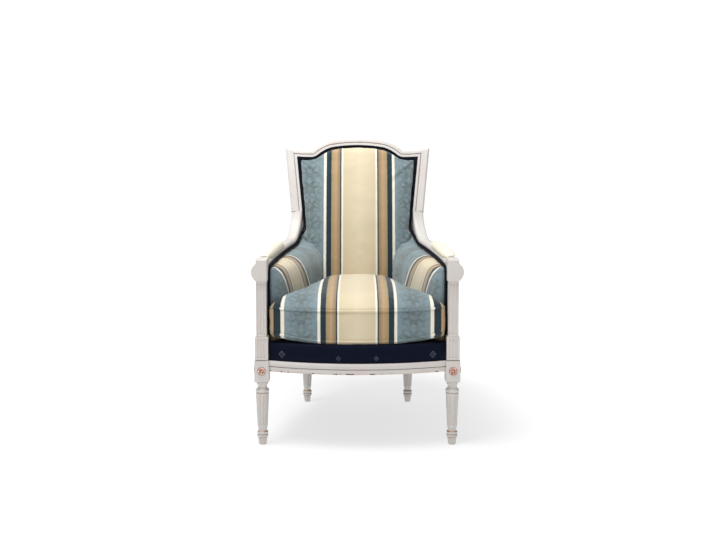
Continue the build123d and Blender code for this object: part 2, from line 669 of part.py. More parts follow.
def crest_zone():
    """Region above the mitres that divide the crest from the stiles."""
    inner_rise = EAR_RISE - CREST_FACE
    inner = (stile_x(inner_rise, STILE_FACE), inner_rise)
    ear = (BACK_TOP_WIDTH / 2, EAR_RISE)
    run = ear[0] - inner[0]
    climb = ear[1] - inner[1]
    low = (inner[0] - run, inner[1] - climb)
    high = (ear[0] + run, ear[1] + climb)
    top = 2 * BACK_HEIGHT
    return polygon(
        (-low[0], low[1]), low, high, (high[0], top), (-high[0], top), (-high[0], high[1])
    )


def mitre_dowel(grow=0.0):
    """Dowel square through the right-hand mitre, in the raked plane's own directions."""
    run, climb = STILE_FACE, CREST_FACE
    middle = (BACK_TOP_WIDTH / 2 - run / 2, EAR_RISE - climb / 2)
    across = degrees(atan2(run, -climb)) - 90
    peg = Rot(0, 0, across) * Rot(90, 0, 0) * Cylinder(PEG / 2 + grow, MITRE_PEG + 2 * grow)
    return BACK_PLANE * (Pos(middle[0], middle[1], -FRAME_THICK / 2) * peg)


def crest_rail():
    """Hat-shaped top rail, mitred and doweled to the stiles."""
    rail = BACK_PLANE * (back_ring() & slab(crest_zone(), -2 * FRAME_THICK, FRAME_THICK))
    return rail - both_sides(mitre_dowel(TENON_GAP))


def lower_tenon(grow=0.0):
    """Tenons of the lower back rail, in the raked plane's own directions, from stile to stile."""
    low = LOWER_RAIL_RISE + LOWER_TENON_MARGIN - grow
    high = LOWER_RAIL_RISE + LOWER_RAIL_HEIGHT - LOWER_TENON_MARGIN + grow
    inset = STILE_FACE + REBATE_WIDTH - TENON_LENGTH - grow
    face = polygon(
        (-stile_x(low, inset), low), (stile_x(low, inset), low),
        (stile_x(high, inset), high), (-stile_x(high, inset), high),
    )
    middle = -FRAME_THICK / 2
    return slab(face, middle - LOWER_TENON_THICK / 2 - grow, middle + LOWER_TENON_THICK / 2 + grow)


def lower_back_rail():
    """Hidden rail between the stiles, behind the cushion, that takes the bottom of the back's webbing."""
    low, high = LOWER_RAIL_RISE, LOWER_RAIL_RISE + LOWER_RAIL_HEIGHT
    inset = STILE_FACE + REBATE_WIDTH
    face = polygon(
        (-stile_x(low, inset), low), (stile_x(low, inset), low),
        (stile_x(high, inset), high), (-stile_x(high, inset), high),
    )
    return BACK_PLANE * (slab(face, REBATE_DEPTH - FRAME_THICK, -REBATE_DEPTH) + lower_tenon())


def rear_post():
    """Right rear leg, its block and the raked stile above it, in one piece."""
    half = REAR_BLOCK / 2
    leg = turned_leg(REAR_LEG_SLIMMER) + block(-half, half, -half, half, LEG_HEIGHT, RAIL_TOP)
    leg = Pos(HALF_REAR, REAR_LEG_Y, 0) * leg
    leg -= side_tenon(REAR_SHOULDER, 1, TENON_GAP)
    leg -= rear_tenon(TENON_GAP)
    right_half = polygon((0, 0), (BACK_TOP_WIDTH, 0), (BACK_TOP_WIDTH, BACK_HEIGHT), (0, BACK_HEIGHT))
    stile = back_ring() & slab(right_half - crest_zone(), -2 * FRAME_THICK, FRAME_THICK)
    stile -= lower_tenon(TENON_GAP)
    low, high = ARM_JOINT - LAP_HEIGHT, ARM_JOINT + TENON_GAP
    inner = STILE_FACE + REBATE_WIDTH / 2
    notch = polygon(
        (stile_x(low, inner), low), (2 * BACK_TOP_WIDTH, low),
        (2 * BACK_TOP_WIDTH, high), (stile_x(high, inner), high),
    )
    stile -= slab(notch, -LAP_DEPTH - TENON_GAP, FRAME_THICK)
    stile = BACK_PLANE * stile - lap_dowel(TENON_GAP) - mitre_dowel(TENON_GAP)
    stile -= block(0, HALF_REAR - half, REAR_SHOULDER - half, REAR_LEG_Y + REAR_BLOCK, 0, RAIL_TOP)
    return leg + stile


def frame_dowels():
    """Upright dowels of the arm posts, pegs of the arm laps and dowels of the mitres, on both sides."""
    dowel = Cylinder(DOWEL / 2, DOWEL_LENGTH)
    upright = [Pos(HALF_FRONT, FRONT_LEG_Y, z) * dowel for z in (PLINTH_TOP, ARM_UNDERSIDE)]
    return pieces_on_both_sides(upright + [lap_dowel(), mitre_dowel()])


def block_rosettes():
    """Carved flowers on the two visible faces of each front block."""
    return pieces_on_both_sides([place * rosette() for place in rosette_places()])


def corner_screw(front, grow=0.0):
    """Screw through a right-hand corner block into the leg, from the block's long face."""
    axis_x, axis_y = (HALF_FRONT, FRONT_LEG_Y) if front else (HALF_REAR, REAR_LEG_Y)
    half = FRONT_BLOCK / 2 if front else REAR_BLOCK / 2
    toward = -1 if front else 1
    tip_x, tip_y = axis_x - half + SCREW_BITE, axis_y - toward * (half - SCREW_BITE)
    level = (RAIL_BOTTOM + RAIL_TOP) / 2
    shank = Pos(0, 0, -SCREW_LENGTH / 2) * Cylinder(SCREW / 2 + grow, SCREW_LENGTH)
    head = Pos(0, 0, -SCREW_LENGTH) * Cylinder(SCREW + grow, SCREW + 2 * grow)
    heading = 45 * toward
    return Pos(tip_x, tip_y, level) * Rot(0, 0, heading) * Rot(0, 90, 0) * (shank + head)


def corner_block(front):
    """Right-hand glue block, fitted to the two rails and the leg that it braces."""
    axis_x, axis_y = (HALF_FRONT, FRONT_LEG_Y) if front else (HALF_REAR, REAR_LEG_Y)
    toward = -1 if front else 1
    shape = polygon(
        (axis_x, axis_y), (axis_x - CORNER_BLOCK, axis_y), (axis_x, axis_y - toward * CORNER_BLOCK)
    )
    wedge = slab(shape, RAIL_BOTTOM + CORNER_MARGIN, RAIL_TOP - 2 * CORNER_MARGIN)
    half = FRONT_BLOCK / 2 if front else REAR_BLOCK / 2
    leg = block(axis_x - half, axis_x + half, axis_y - half, axis_y + half, LEG_HEIGHT, RAIL_TOP)
    end_rail = front_seat_rail() if front else rear_seat_rail()
    wedge = wedge - leg - end_rail - side_seat_rail() - corner_screw(front, TENON_GAP)
    return wedge.solids().sort_by(SortBy.VOLUME)[-1]


# Plan offsets from the rails' moulded faces
COVER_LINE = -MOULDING_PROUD
RAIL_INNER = -MOULDING_PROUD - RAIL_THICK
ARM_FULL = RAIL_INNER - ARM_STUFFING
SEAT_REAR = FRONT_LEG_Y + BACK_FRONT - SEAT_REAR_GAP
PLATFORM = RAIL_TOP + 2 * WEB_THICK + HESSIAN_THICK  # top of the hessian


def seat_outline(front, cheek, side, rear):
    """Plan between posts, inside arms and back: bowed front, cheeks at the posts, tapering sides.

    front and side are offsets from the rails' moulded faces, cheek is a half width and rear a Y.
    """
    cheek_y = FRONT_LEG_Y + CHEEK_BACK
    waist_y = FRONT_LEG_Y + WAIST_BACK
    nose_y = FRONT_ARC.y_at(cheek, front)
    waist = (SIDE_ARC.x_at(waist_y, side), waist_y)
    middle = (SIDE_ARC.x_at((waist_y + rear) / 2, side), (waist_y + rear) / 2)
    tail = (SIDE_ARC.x_at(rear, side), rear)
    with BuildSketch() as outline:
        with BuildLine():
            right = [
                Polyline((cheek, nose_y), (cheek, cheek_y), waist),
                ThreePointArc(waist, middle, tail),
            ]
            mirror(right, about=Plane.YZ)
            ThreePointArc((-cheek, nose_y), (0, FRONT_ARC.y_at(0, front)), (cheek, nose_y))
            Line((-tail[0], rear), tail)
        make_face()
    return outline.sketch


def rail_plan(front, side, rear):
    """Plan over the rails, notched round the four corner posts."""
    corner_y = FRONT_LEG_Y
    nose_x = SIDE_ARC.x_at(corner_y, side)
    nose_y = FRONT_ARC.y_at(nose_x, front)
    middle = (SIDE_ARC.x_at((nose_y + rear) / 2, side), (nose_y + rear) / 2)
    tail = (SIDE_ARC.x_at(rear, side), rear)
    head = (SIDE_ARC.x_at(nose_y, side), nose_y)
    with BuildSketch() as outline:
        with BuildLine():
            right = ThreePointArc(head, middle, tail)
            mirror(right, about=Plane.YZ)
            ThreePointArc((-head[0], nose_y), (0, FRONT_ARC.y_at(0, front)), head)
            Line((-tail[0], rear), tail)
        make_face()
    front_notch = FRONT_BLOCK + 2 * NOTCH_GAP
    rear_notch = REAR_BLOCK + 2 * (NOTCH_GAP + REBATE_WIDTH)
    notches = [Pos(side * HALF_FRONT, FRONT_LEG_Y) * Rectangle(front_notch, front_notch) for side in (-1, 1)]
    notches += [Pos(side * HALF_REAR, REAR_LEG_Y) * Rectangle(rear_notch, rear_notch) for side in (-1, 1)]
    return outline.sketch - notches


REAR_TACK_LINE = REAR_LEG_Y + REAR_BLOCK / 2 - RAIL_SETBACK - MOULDING_PROUD - RAIL_THICK / 2


def seat_webbing_lengthwise():
    """Straps from the front rail to the rear rail."""
    straps = []
    for n in range(LENGTHWISE_STRAPS):
        x = (n - (LENGTHWISE_STRAPS - 1) / 2) * WEB_PITCH
        outer = abs(x) + WEB_WIDTH / 2
        start = FRONT_ARC.y_at(outer, COVER_LINE - RAIL_THICK / 4)
        straps.append(
            block(x - WEB_WIDTH / 2, x + WEB_WIDTH / 2, start, REAR_TACK_LINE, RAIL_TOP, RAIL_TOP + WEB_THICK)
        )
    return pieces(straps)


def seat_webbing_crosswise():
    """Straps from side rail to side rail, over the lengthwise ones."""
    straps = []
    for n in range(CROSSWISE_STRAPS):
        y = FRONT_LEG_Y + CROSS_START + n * CROSS_PITCH
        half = SIDE_ARC.x_at(y + WEB_WIDTH / 2, COVER_LINE - RAIL_THICK / 4)
        low = RAIL_TOP + WEB_THICK
        straps.append(block(-half, half, y - WEB_WIDTH / 2, y + WEB_WIDTH / 2, low, low + WEB_THICK))
    return pieces(straps)


def seat_hessian():
    """Hessian over the webbing, tacked to the tops of the rails."""
    plan = rail_plan(COVER_LINE - RAIL_THICK / 4, COVER_LINE - RAIL_THICK / 4, REAR_TACK_LINE)
    return slab(plan, RAIL_TOP + 2 * WEB_THICK, PLATFORM)


def dust_cover():
    """Black cloth under the seat, tacked to the undersides of the rails."""
    inset = COVER_LINE - RAIL_THICK / 4
    return slab(rail_plan(inset, inset, REAR_TACK_LINE), RAIL_BOTTOM - DUST_COVER_THICK, RAIL_BOTTOM)


def seat_stuffing():
    """Flat stuffed platform under the loose cushion."""
    cheek = HALF_FRONT - FRONT_BLOCK / 2 - SOFT_GAP
    plan = seat_outline(COVER_LINE, cheek, ARM_FULL - NOTCH_GAP, SEAT_REAR)
    return slab(plan, PLATFORM, DECK_TOP - COVER_THICK)


def deck_cover():
    """Cover of the platform: its top, and the front that comes down over the rail to the moulding."""
    cheek = HALF_FRONT - FRONT_BLOCK / 2 - SOFT_GAP
    face = COVER_LINE + SOFT_GAP + COVER_THICK
    outer = slab(seat_outline(face, cheek, ARM_FULL - NOTCH_GAP, SEAT_REAR), RAIL_LEDGE + SOFT_GAP, DECK_TOP)
    hollow = seat_outline(face - COVER_THICK, HALF_FRONT, 0, REAR_LEG_Y)
    return outer - slab(hollow, 0, DECK_TOP - COVER_THICK)


WEB_LEVEL = -REBATE_DEPTH
HESSIAN_LEVEL = WEB_LEVEL + 2 * WEB_THICK
BACK_BED = HESSIAN_LEVEL + HESSIAN_THICK  # front of the back's hessian
PIPING_FRONT = BACK_BED + PIPING
PAD_INSET = PIPING + 2 * SOFT_GAP
BACK_SOLE = LOWER_RAIL_RISE  # the back's upholstery starts here, along the rake
PIPING_FOOT = ARM_JOINT - PIPING_DROP  # the arm's cord takes over from the back's here


def back_webbing():
    """Straps across the back's opening, on the ledge of the rebate."""
    field = opening(TACK_MARGIN)
    tall = Rectangle(WEB_WIDTH, 2 * BACK_HEIGHT)
    wide = Rectangle(BACK_TOP_WIDTH, WEB_WIDTH)
    upright = [above(field & (Pos(x, 0) * tall), BACK_SOLE) for x in (-BACK_WEB_PITCH, 0, BACK_WEB_PITCH)]
    level = [field & (Pos(0, BACK_WEB_START + n * BACK_WEB_RISE) * wide) for n in range(BACK_WEB_ROWS)]
    straps = [slab(face, WEB_LEVEL, WEB_LEVEL + WEB_THICK) for face in upright]
    straps += [slab(face, WEB_LEVEL + WEB_THICK, HESSIAN_LEVEL) for face in level]
    return pieces([BACK_PLANE * strap for strap in straps])


def back_hessian():
    """Hessian over the back's webbing."""
    return BACK_PLANE * slab(above(opening(TACK_MARGIN), BACK_SOLE), HESSIAN_LEVEL, BACK_BED)


def dome(rise):
    """Solid under a surface that is rounded both across and along the back."""
    half = BACK_TOP_WIDTH / 2
    edge = rise - half**2 / (2 * DOME_ACROSS)
    with BuildSketch(Plane.XZ) as profile:
        with BuildLine():
            ThreePointArc((-half, edge), (0, rise), (half, edge))
            Polyline((half, edge), (half, -FRAME_THICK), (-half, -FRAME_THICK), (-half, edge))
        make_face()
    hinge = Axis((0, 0, rise - DOME_ALONG), (1, 0, 0))
    spread = degrees(BACK_HEIGHT / DOME_ALONG)
    solid = revolve(profile.sketch, axis=hinge, revolution_arc=spread).rotate(hinge, -spread / 2)
    return Pos(0, BACK_HEIGHT / 2, 0) * solid


def back_pad(grow, rise):
    """Padded shape in the back's opening: inside the cord, and out to the stiles under its foot."""
    upper = above(opening(PAD_INSET - grow), BACK_SOLE)
    lower = below(above(opening(SOFT_GAP - grow), BACK_SOLE), PIPING_FOOT - SOFT_GAP)
    return slab(upper + lower, BACK_BED, 2 * BACK_STUFFING) & dome(rise)


def back_stuffing():
    """Stuffing of the inside back."""
    return BACK_PLANE * back_pad(0, BACK_STUFFING - COVER_THICK)


def inside_back_cover():
    """Cover fabric over the domed front of the inside back."""
    return BACK_PLANE * (back_pad(0, BACK_STUFFING) - dome(BACK_STUFFING - COVER_THICK))


def back_piping():
    """Double cord that covers the tacks round the inside back."""
    band = above(opening(SOFT_GAP) - opening(SOFT_GAP + PIPING), PIPING_FOOT)
    return BACK_PLANE * slab(band, BACK_BED + SOFT_GAP, PIPING_FRONT)


def outside_back_cover():
    """Cover of the outside back, in the rear rebate."""
    rear = REBATE_DEPTH - FRAME_THICK
    sole = FRAME_THICK * tan(RAKE) + SOFT_GAP
    return BACK_PLANE * slab(above(opening(SOFT_GAP), sole), rear - COVER_THICK, rear)


def arm_below(run, drop):
    """Height of a line parallel to the arm's top, a distance under it, behind the front legs."""
    if run <= SWEEP_START[0] - drop * sin(SLOPE):
        return ARM_TOP + run * tan(SLOPE) - drop / cos(SLOPE)
    centre_y = SWEEP_START[0] - ARM_SWEEP_RADIUS * sin(SLOPE)
    centre_z = SWEEP_START[1] + ARM_SWEEP_RADIUS * cos(SLOPE)
    return centre_z - sqrt((ARM_SWEEP_RADIUS + drop) ** 2 - (run - centre_y) ** 2)


def arm_runs(start):
    """Evenly spaced places along the arm, from a start to the end of its sweep."""
    step = (SWEEP_END[0] - start) / (ARM_SECTIONS - 1)
    return [start + step * n for n in range(ARM_SECTIONS)]


def before_back():
    """Everything in front of the back frame's face."""
    reach = 2 * BACK_HEIGHT
    return BACK_PLANE * slab(Rectangle(2 * reach, 2 * reach), SOFT_GAP, reach)


def inside_arm_pad():
    """Right inside arm: upright beside the seat, then rounded over to the arm's inner edge."""
    sections = []
    start = PLINTH / 2 + INSIDE_START
    for run in arm_runs(start):
        y = FRONT_LEG_Y + run
        full = 1.0 if run > start else FRONT_FULLNESS
        arm_x = ARM_ARC.x_at(y, -ARM_WIDTH / 2) - SOFT_GAP
        foot_x = min(SIDE_ARC.x_at(y, RAIL_INNER) - SOFT_GAP, arm_x)
        low = PLATFORM + SOFT_GAP
        high = arm_below(run, ARM_ROUND + PIPING + NOTCH_GAP)
        full_x = foot_x - full * ARM_STUFFING
        inner_high = (arm_x - PIPING, high)
        shoulder = (full_x, low + ARM_SHOULDER * (high - low))
        with BuildSketch(Plane.XZ.offset(-y)) as section:
            with BuildLine():
                Polyline(inner_high, (arm_x, high), (foot_x, low), (full_x, low), shoulder)
                Bezier(shoulder, (full_x, high), inner_high)
            make_face()
        sections.append(section.sketch)
    pad = loft(sections) & before_back()
    rear_clearance = back_pad(SOFT_GAP, BACK_STUFFING + SOFT_GAP)
    rear_clearance += slab(above(opening(-SOFT_GAP), BACK_SOLE - SOFT_GAP), BACK_BED, PIPING_FRONT + SOFT_GAP)
    return (pad - BACK_PLANE * rear_clearance).solids().sort_by(SortBy.VOLUME)[-1]


def outside_arm_cover():
    """Right outside arm: thin cover from under the arm down to the rail's moulding."""
    sections = []
    for run in arm_runs(PLINTH / 2 + NOTCH_GAP):
        y = FRONT_LEG_Y + run
        low = RAIL_LEDGE + SOFT_GAP
        high = arm_below(run, ARM_DEPTH - ARM_LOWER_ROUND)
        foot_x = SIDE_ARC.x_at(y, COVER_LINE) + NOTCH_GAP
        head_x = ARM_ARC.x_at(y, ARM_WIDTH / 2) - OUTSIDE_SETBACK
        outer_foot, outer_head = foot_x + COVER_THICK, head_x + COVER_THICK
        strip = polygon((foot_x, low), (outer_foot, low), (outer_head, high), (head_x, high))
        sections.append(Plane.XZ.offset(-y) * strip)
    rear_block = block(0, FRONT_LEG_SPREAD, REAR_SHOULDER - SOFT_GAP, REAR_LEG_Y, 0, RAIL_TOP + SOFT_GAP)
    knob_rear = FRONT_LEG_Y - POST_DEPTH / 2 - KNOB_FRONT + KNOB_LENGTH + SOFT_GAP
    knob = block(0, FRONT_LEG_SPREAD, -LEG_DEPTH, knob_rear, ARM_UNDERSIDE - SOFT_GAP, KNOB_TOP)
    cover = (loft(sections) & before_back()) - arm_body(SOFT_GAP) - rear_block - knob
    return cover.solids().sort_by(SortBy.VOLUME)[-1]


def arm_pad():
    """Right arm pad on top of the arm, rounded over and drawn down at both ends."""
    sections = []
    step = ARM_PAD_LENGTH / (len(ARM_PAD_SHAPE) - 1)
    for n, share in enumerate(ARM_PAD_SHAPE):
        width = ARM_WIDTH * (1 + share) / 2
        low, high = -ARM_ROUND / 2, ARM_PAD_RISE * share
        outline = Pos(0, (low + high) / 2) * Rectangle(width, high - low)
        upper = outline.vertices().sort_by(Axis.Y)[-2:]
        sections.append(arm_plane(ARM_PAD_START + step * n) * fillet(upper, (high - low) * ARM_PAD_ROUND))
    pad = loft(sections) - arm_body(SOFT_GAP)
    return pad.solids().sort_by(Axis.Z)[-1]


def arm_piping():
    """Right-hand cord under the arm's inner edge and down the inner corner of the post."""
    drop = ARM_ROUND + PIPING / 2 + SOFT_GAP
    cord = Pos(-ARM_WIDTH / 2 - PIPING / 2 - 2 * SOFT_GAP, -drop) * Circle(PIPING / 2)
    level = loft([plane * cord for plane in level_stations()])
    sweep = loft([plane * cord for plane in sweep_stations()])
    reach = 2 * BACK_HEIGHT
    clear = BACK_PLANE * slab(Rectangle(2 * reach, 2 * reach), PIPING_FRONT + SOFT_GAP, reach)
    along = (level + sweep) & clear
    x = HALF_FRONT - POST_WIDTH / 2 - KNOB_INSIDE - POST_PIPING / 2 - SOFT_GAP
    y = FRONT_LEG_Y + POST_DEPTH / 2 - POST_PIPING / 2
    low, high = PLINTH_TOP + NOTCH_GAP, arm_below(0, drop)
    down = Pos(x, y, (low + high) / 2) * Cylinder(POST_PIPING / 2, high - low)
    return pieces([along, down - level])


CUSHION_LOW = DECK_TOP + SOFT_GAP
CUSHION_EDGE = CUSHION_LOW + CUSHION_BOXING


def cushion_plan(inset):
    """Plan of the loose cushion, drawn in from the outside of its welts, with all corners rounded."""
    cheek = HALF_FRONT - PLINTH / 2 - CUSHION_GAP
    plan = seat_outline(CUSHION_FRONT, cheek, ARM_FULL - CUSHION_GAP, SEAT_REAR - CUSHION_GAP)
    for step in (-CUSHION_CORNER, CUSHION_CORNER, CUSHION_WAIST, -CUSHION_WAIST - inset):
        plan = offset(plan, step, kind=Kind.ARC)
    return plan


def cushion_body(inset):
    """Box-edged cushion with a crowned top, drawn in all round by an inset."""
    plan = cushion_plan(WELT + SOFT_GAP + inset)
    middle = (FRONT_ARC.y_at(0, CUSHION_FRONT) + SEAT_REAR) / 2
    centred = Pos(0, -middle) * plan
    crown = [
        Pos(0, middle, CUSHION_EDGE + (CUSHION_CROWN - inset) * rise) * scale(centred, by=share)
        for share, rise in CROWN_SHAPE
    ]
    return slab(plan, CUSHION_LOW + inset, CUSHION_EDGE) + loft(crown)


def cushion_welts():
    """Piped seams round the cushion's top and bottom edges."""
    welts = []
    for z in (CUSHION_LOW + WELT_RISE, CUSHION_EDGE):
        path = Pos(0, 0, z) * cushion_plan(WELT / 2).wire()
        welts.append(sweep(Plane(path ^ 0) * Circle(WELT / 2), path=path))
    return pieces(welts)


def main():
    """Build every piece and write it to the parts folder."""
    os.makedirs("parts", exist_ok=True)
    front_hole, rear_hole = corner_screw(True, TENON_GAP), corner_screw(False, TENON_GAP)
    export_pair("front_leg", front_leg() - front_hole)
    export_pair("rear_post", rear_post() - rear_hole)
    export("front_seat_rail", front_seat_rail() - both_sides(front_hole))
    export_pair("seat_rail", side_seat_rail() - front_hole - rear_hole)
    export("rear_seat_rail", rear_seat_rail() - both_sides(rear_hole))
    export_pair("arm_post", arm_post())
    export_pair("arm", arm())
    export("back_crest_rail", crest_rail())
    export("back_lower_rail", lower_back_rail())
    export("corner_blocks", pieces_on_both_sides([corner_block(True), corner_block(False)]))
    export("corner_block_screws", pieces_on_both_sides([corner_screw(True), corner_screw(False)]))
    export("frame_dowels", frame_dowels())
    export("block_rosettes", block_rosettes())
    export("seat_webbing_lengthwise", seat_webbing_lengthwise())
    export("seat_webbing_crosswise", seat_webbing_crosswise())
    export("seat_hessian", seat_hessian())
    export("seat_stuffing", seat_stuffing())
    export("deck_cover", deck_cover())
    export("dust_cover", dust_cover())
    export("back_webbing", back_webbing())
    export("back_hessian", back_hessian())
    export("back_stuffing", back_stuffing())
    export("inside_back_cover", inside_back_cover())
    export("outside_back_cover", outside_back_cover())
    export("back_piping", back_piping())
    export_pair("inside_arm_pad", inside_arm_pad())
    export_pair("outside_arm_cover", outside_arm_cover())
    export_pair("arm_pad", arm_pad())
    export_pair("arm_piping", arm_piping())
    export("cushion_cover", cushion_body(0) - cushion_body(COVER_THICK))
    export("cushion_core", cushion_body(COVER_THICK + SOFT_GAP))
    export("cushion_welts", cushion_welts())


if __name__ == "__main__":
    main()
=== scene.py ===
import json
import math

import bmesh
import bpy
from mathutils import Matrix, Vector, noise
from mathutils.bvhtree import BVHTree
from mathutils.kdtree import KDTree


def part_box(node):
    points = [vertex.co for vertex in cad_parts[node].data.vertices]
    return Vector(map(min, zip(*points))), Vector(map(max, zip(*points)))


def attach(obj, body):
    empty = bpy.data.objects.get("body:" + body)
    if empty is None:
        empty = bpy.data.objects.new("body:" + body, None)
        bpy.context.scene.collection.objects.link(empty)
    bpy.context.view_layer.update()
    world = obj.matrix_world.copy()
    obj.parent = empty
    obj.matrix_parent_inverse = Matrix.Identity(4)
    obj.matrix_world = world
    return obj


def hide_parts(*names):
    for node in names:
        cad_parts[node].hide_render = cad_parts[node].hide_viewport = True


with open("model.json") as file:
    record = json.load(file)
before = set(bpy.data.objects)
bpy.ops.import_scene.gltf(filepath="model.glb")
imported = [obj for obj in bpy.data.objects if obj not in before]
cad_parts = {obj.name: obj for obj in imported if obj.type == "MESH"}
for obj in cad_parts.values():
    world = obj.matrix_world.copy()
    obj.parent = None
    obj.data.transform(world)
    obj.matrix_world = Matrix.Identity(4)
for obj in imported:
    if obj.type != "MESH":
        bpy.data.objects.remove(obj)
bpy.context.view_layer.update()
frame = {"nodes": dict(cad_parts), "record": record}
record = frame["record"]

# Places on the chair, in metres
LEG_LOW, LEG_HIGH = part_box("right_front_leg")
FRONT_X = (LEG_LOW[0] + LEG_HIGH[0]) / 2
FRONT_Y = (LEG_LOW[1] + LEG_HIGH[1]) / 2
BLOCK = LEG_HIGH[0] - LEG_LOW[0]
BLOCK_MIDDLE = 0.2375  # height of the carved blocks' middle
RAIL_SOLE = 0.234  # just under the front rail's moulding
RAIL_EDGE_LINE = 0.2372  # rubbed line along the moulding's lower edge
RAIL_TOP = 0.300
FOOT_RINGS = (0.0424, 0.0238)  # heights of the gilt rings on the feet
COLLAR_RING = 0.1672  # and of the one under the collars
LOZENGES = (0.058, 0.235)  # the deck's small figures, out from the middle
LOZENGE_HEIGHT = 0.2865
DECK_FRONT_TOP = 0.303  # where the deck's front turns over
RAKE = math.radians(13)
BACK_Y = FRONT_Y + 0.48255  # the back frame's face at the level of the rail tops
STILE_FOOT = 0.206  # half width of the back frame at that level
STILE_SPLAY = 0.10153
STILE_FACE = 0.041
CREST_FACE = 0.025
BACK_SOLE = 0.026  # lower edge of the back's upholstery, along the rake
BACK_BED = -0.0048  # the inside back's hessian, behind the frame's face
# Arch, shoulder and ear of the crest, in the raked plane
CREST = ((-0.105, 0.6825), (0.0, 0.692), (0.105, 0.6825))
SHOULDER = ((0.105, 0.6825), (0.136, 0.6695), (0.170, 0.646))
EAR = ((0.170, 0.646), (0.22125, 0.6475), (0.2725, 0.655))
ARM_TOP = 0.582
ARM_WIDTH = 0.040
ARM_SLOPE = math.radians(3.2)
ARM_BOW = 0.011
SWEEP_START = (0.46336, 0.6079)  # behind the front legs, and up
SWEEP_END = (0.5754, 0.7023)
SWEEP_RADIUS = 0.122
ARM_END_X = 0.2274  # the arm's middle where it joins the stile
POST_WIDTH = 0.032
KNOB_INSIDE = 0.003  # the arm's knob past the post, on the inside
POST_DEPTH = 0.040
PLINTH_TOP = 0.346
CORD = 0.0030  # radius of one strand of the double piping
CORD_GAP = 0.0004
CORD_CLEAR = 0.001  # between the cord and what it lies along
CORD_ASIDE = -ARM_WIDTH / 2 - CORD - CORD_CLEAR  # the cord's place inside the arm's middle
CORD_DROP = 0.0165  # and under its top
CORD_TURN = 0.024  # the cord leaves the arm this far before the back
CORD_START = 0.03  # the cord's first place along the arm
CORD_RUN = 0.53  # and how much farther its places may lie
WELT_RADIUS = 0.0036
FLOWER_SIZE = 0.84
BACK_STRETCH = 1.07  # the back's fabric is stretched this much across
BACK_SHIFT = 0.007  # and lies this far off the middle
ARM_PAD_X = 0.27
CUSHION_EDGE = 0.4314  # height of the cushion's upper seam
CUSHION_FOOT = 0.3374  # and of its lower one
CUSHION_CORNER = (0.262, FRONT_Y - 0.018)
CUSHION_MIDDLE = FRONT_Y + 0.18
CORNER_LIFT = 0.022  # the lower seam's rise towards the front corners
CORNER_FROM = 0.10  # where it starts across, where it is full, and how far back it goes
CORNER_SPAN = 0.17
CORNER_DEPTH = 0.12
EAR_SIZE = 0.03  # the puffed ear at each front corner, and how far it goes up, out and forward
EAR_LIFT = 0.007
EAR_OUT = 0.012
EAR_FORWARD = 0.006
PLINTH_INSIDE = 0.2765  # clear of the front legs' plinths
POST_INSIDE = 0.2795  # and of the arm posts above them
CLOTH_MAP = "cloth"  # the stripes' place on each cover
FIGURE_MAP = "figure"  # the woven foliage's

# Stripes of the cover fabric: millimetres from the middle of the cream band, then the colours at both edges
HALF_REPEAT = 0.174
STRIPES = (
    (0, 56, (227, 213, 183), (218, 202, 168)),
    (56, 62, (242, 237, 224), (244, 240, 228)),
    (62, 66, (48, 46, 44), (42, 40, 40)),
    (66, 79, (134, 124, 102), (184, 152, 114)),
    (79, 97, (194, 158, 116), (160, 144, 108)),
    (97, 114, (15, 40, 50), (20, 47, 60)),
    (114, 123, (238, 232, 214), (244, 240, 228)),
    (123, 125, (164, 162, 140), (126, 136, 134)),
    (125, 174, (122, 146, 160), (122, 146, 160)),
)
BLUE_FROM = 0.125
# The cream band's middle on the arms, behind the front legs, and the lean of the stripes inside
ARM_BAND = 0.165
ARM_BAND_TOP = 0.565
ARM_LEAN = 0.6
ARM_BLUE_STRETCH = 0.28
OUTSIDE_BAND = 0.25


class Socket:
    """A shader socket that takes part in Python arithmetic."""

    def __init__(self, finish, socket):
        self.finish = finish
        self.socket = socket

    def maths(self, operation, *values):
        return self.finish.maths(operation, *values)

    def __add__(self, other):
        return self.maths("ADD", self, other)

    __radd__ = __add__

    def __mul__(self, other):
        return self.maths("MULTIPLY", self, other)

    __rmul__ = __mul__

    def __sub__(self, other):
        return self.maths("SUBTRACT", self, other)

    def __rsub__(self, other):
        return self.maths("SUBTRACT", other, self)

    def __truediv__(self, other):
        return self.maths("DIVIDE", self, other)

    def __gt__(self, other):
        return self.maths("GREATER_THAN", self, other)

    def __lt__(self, other):
        return self.maths("LESS_THAN", self, other)

    def __abs__(self):
        return self.maths("ABSOLUTE", self)


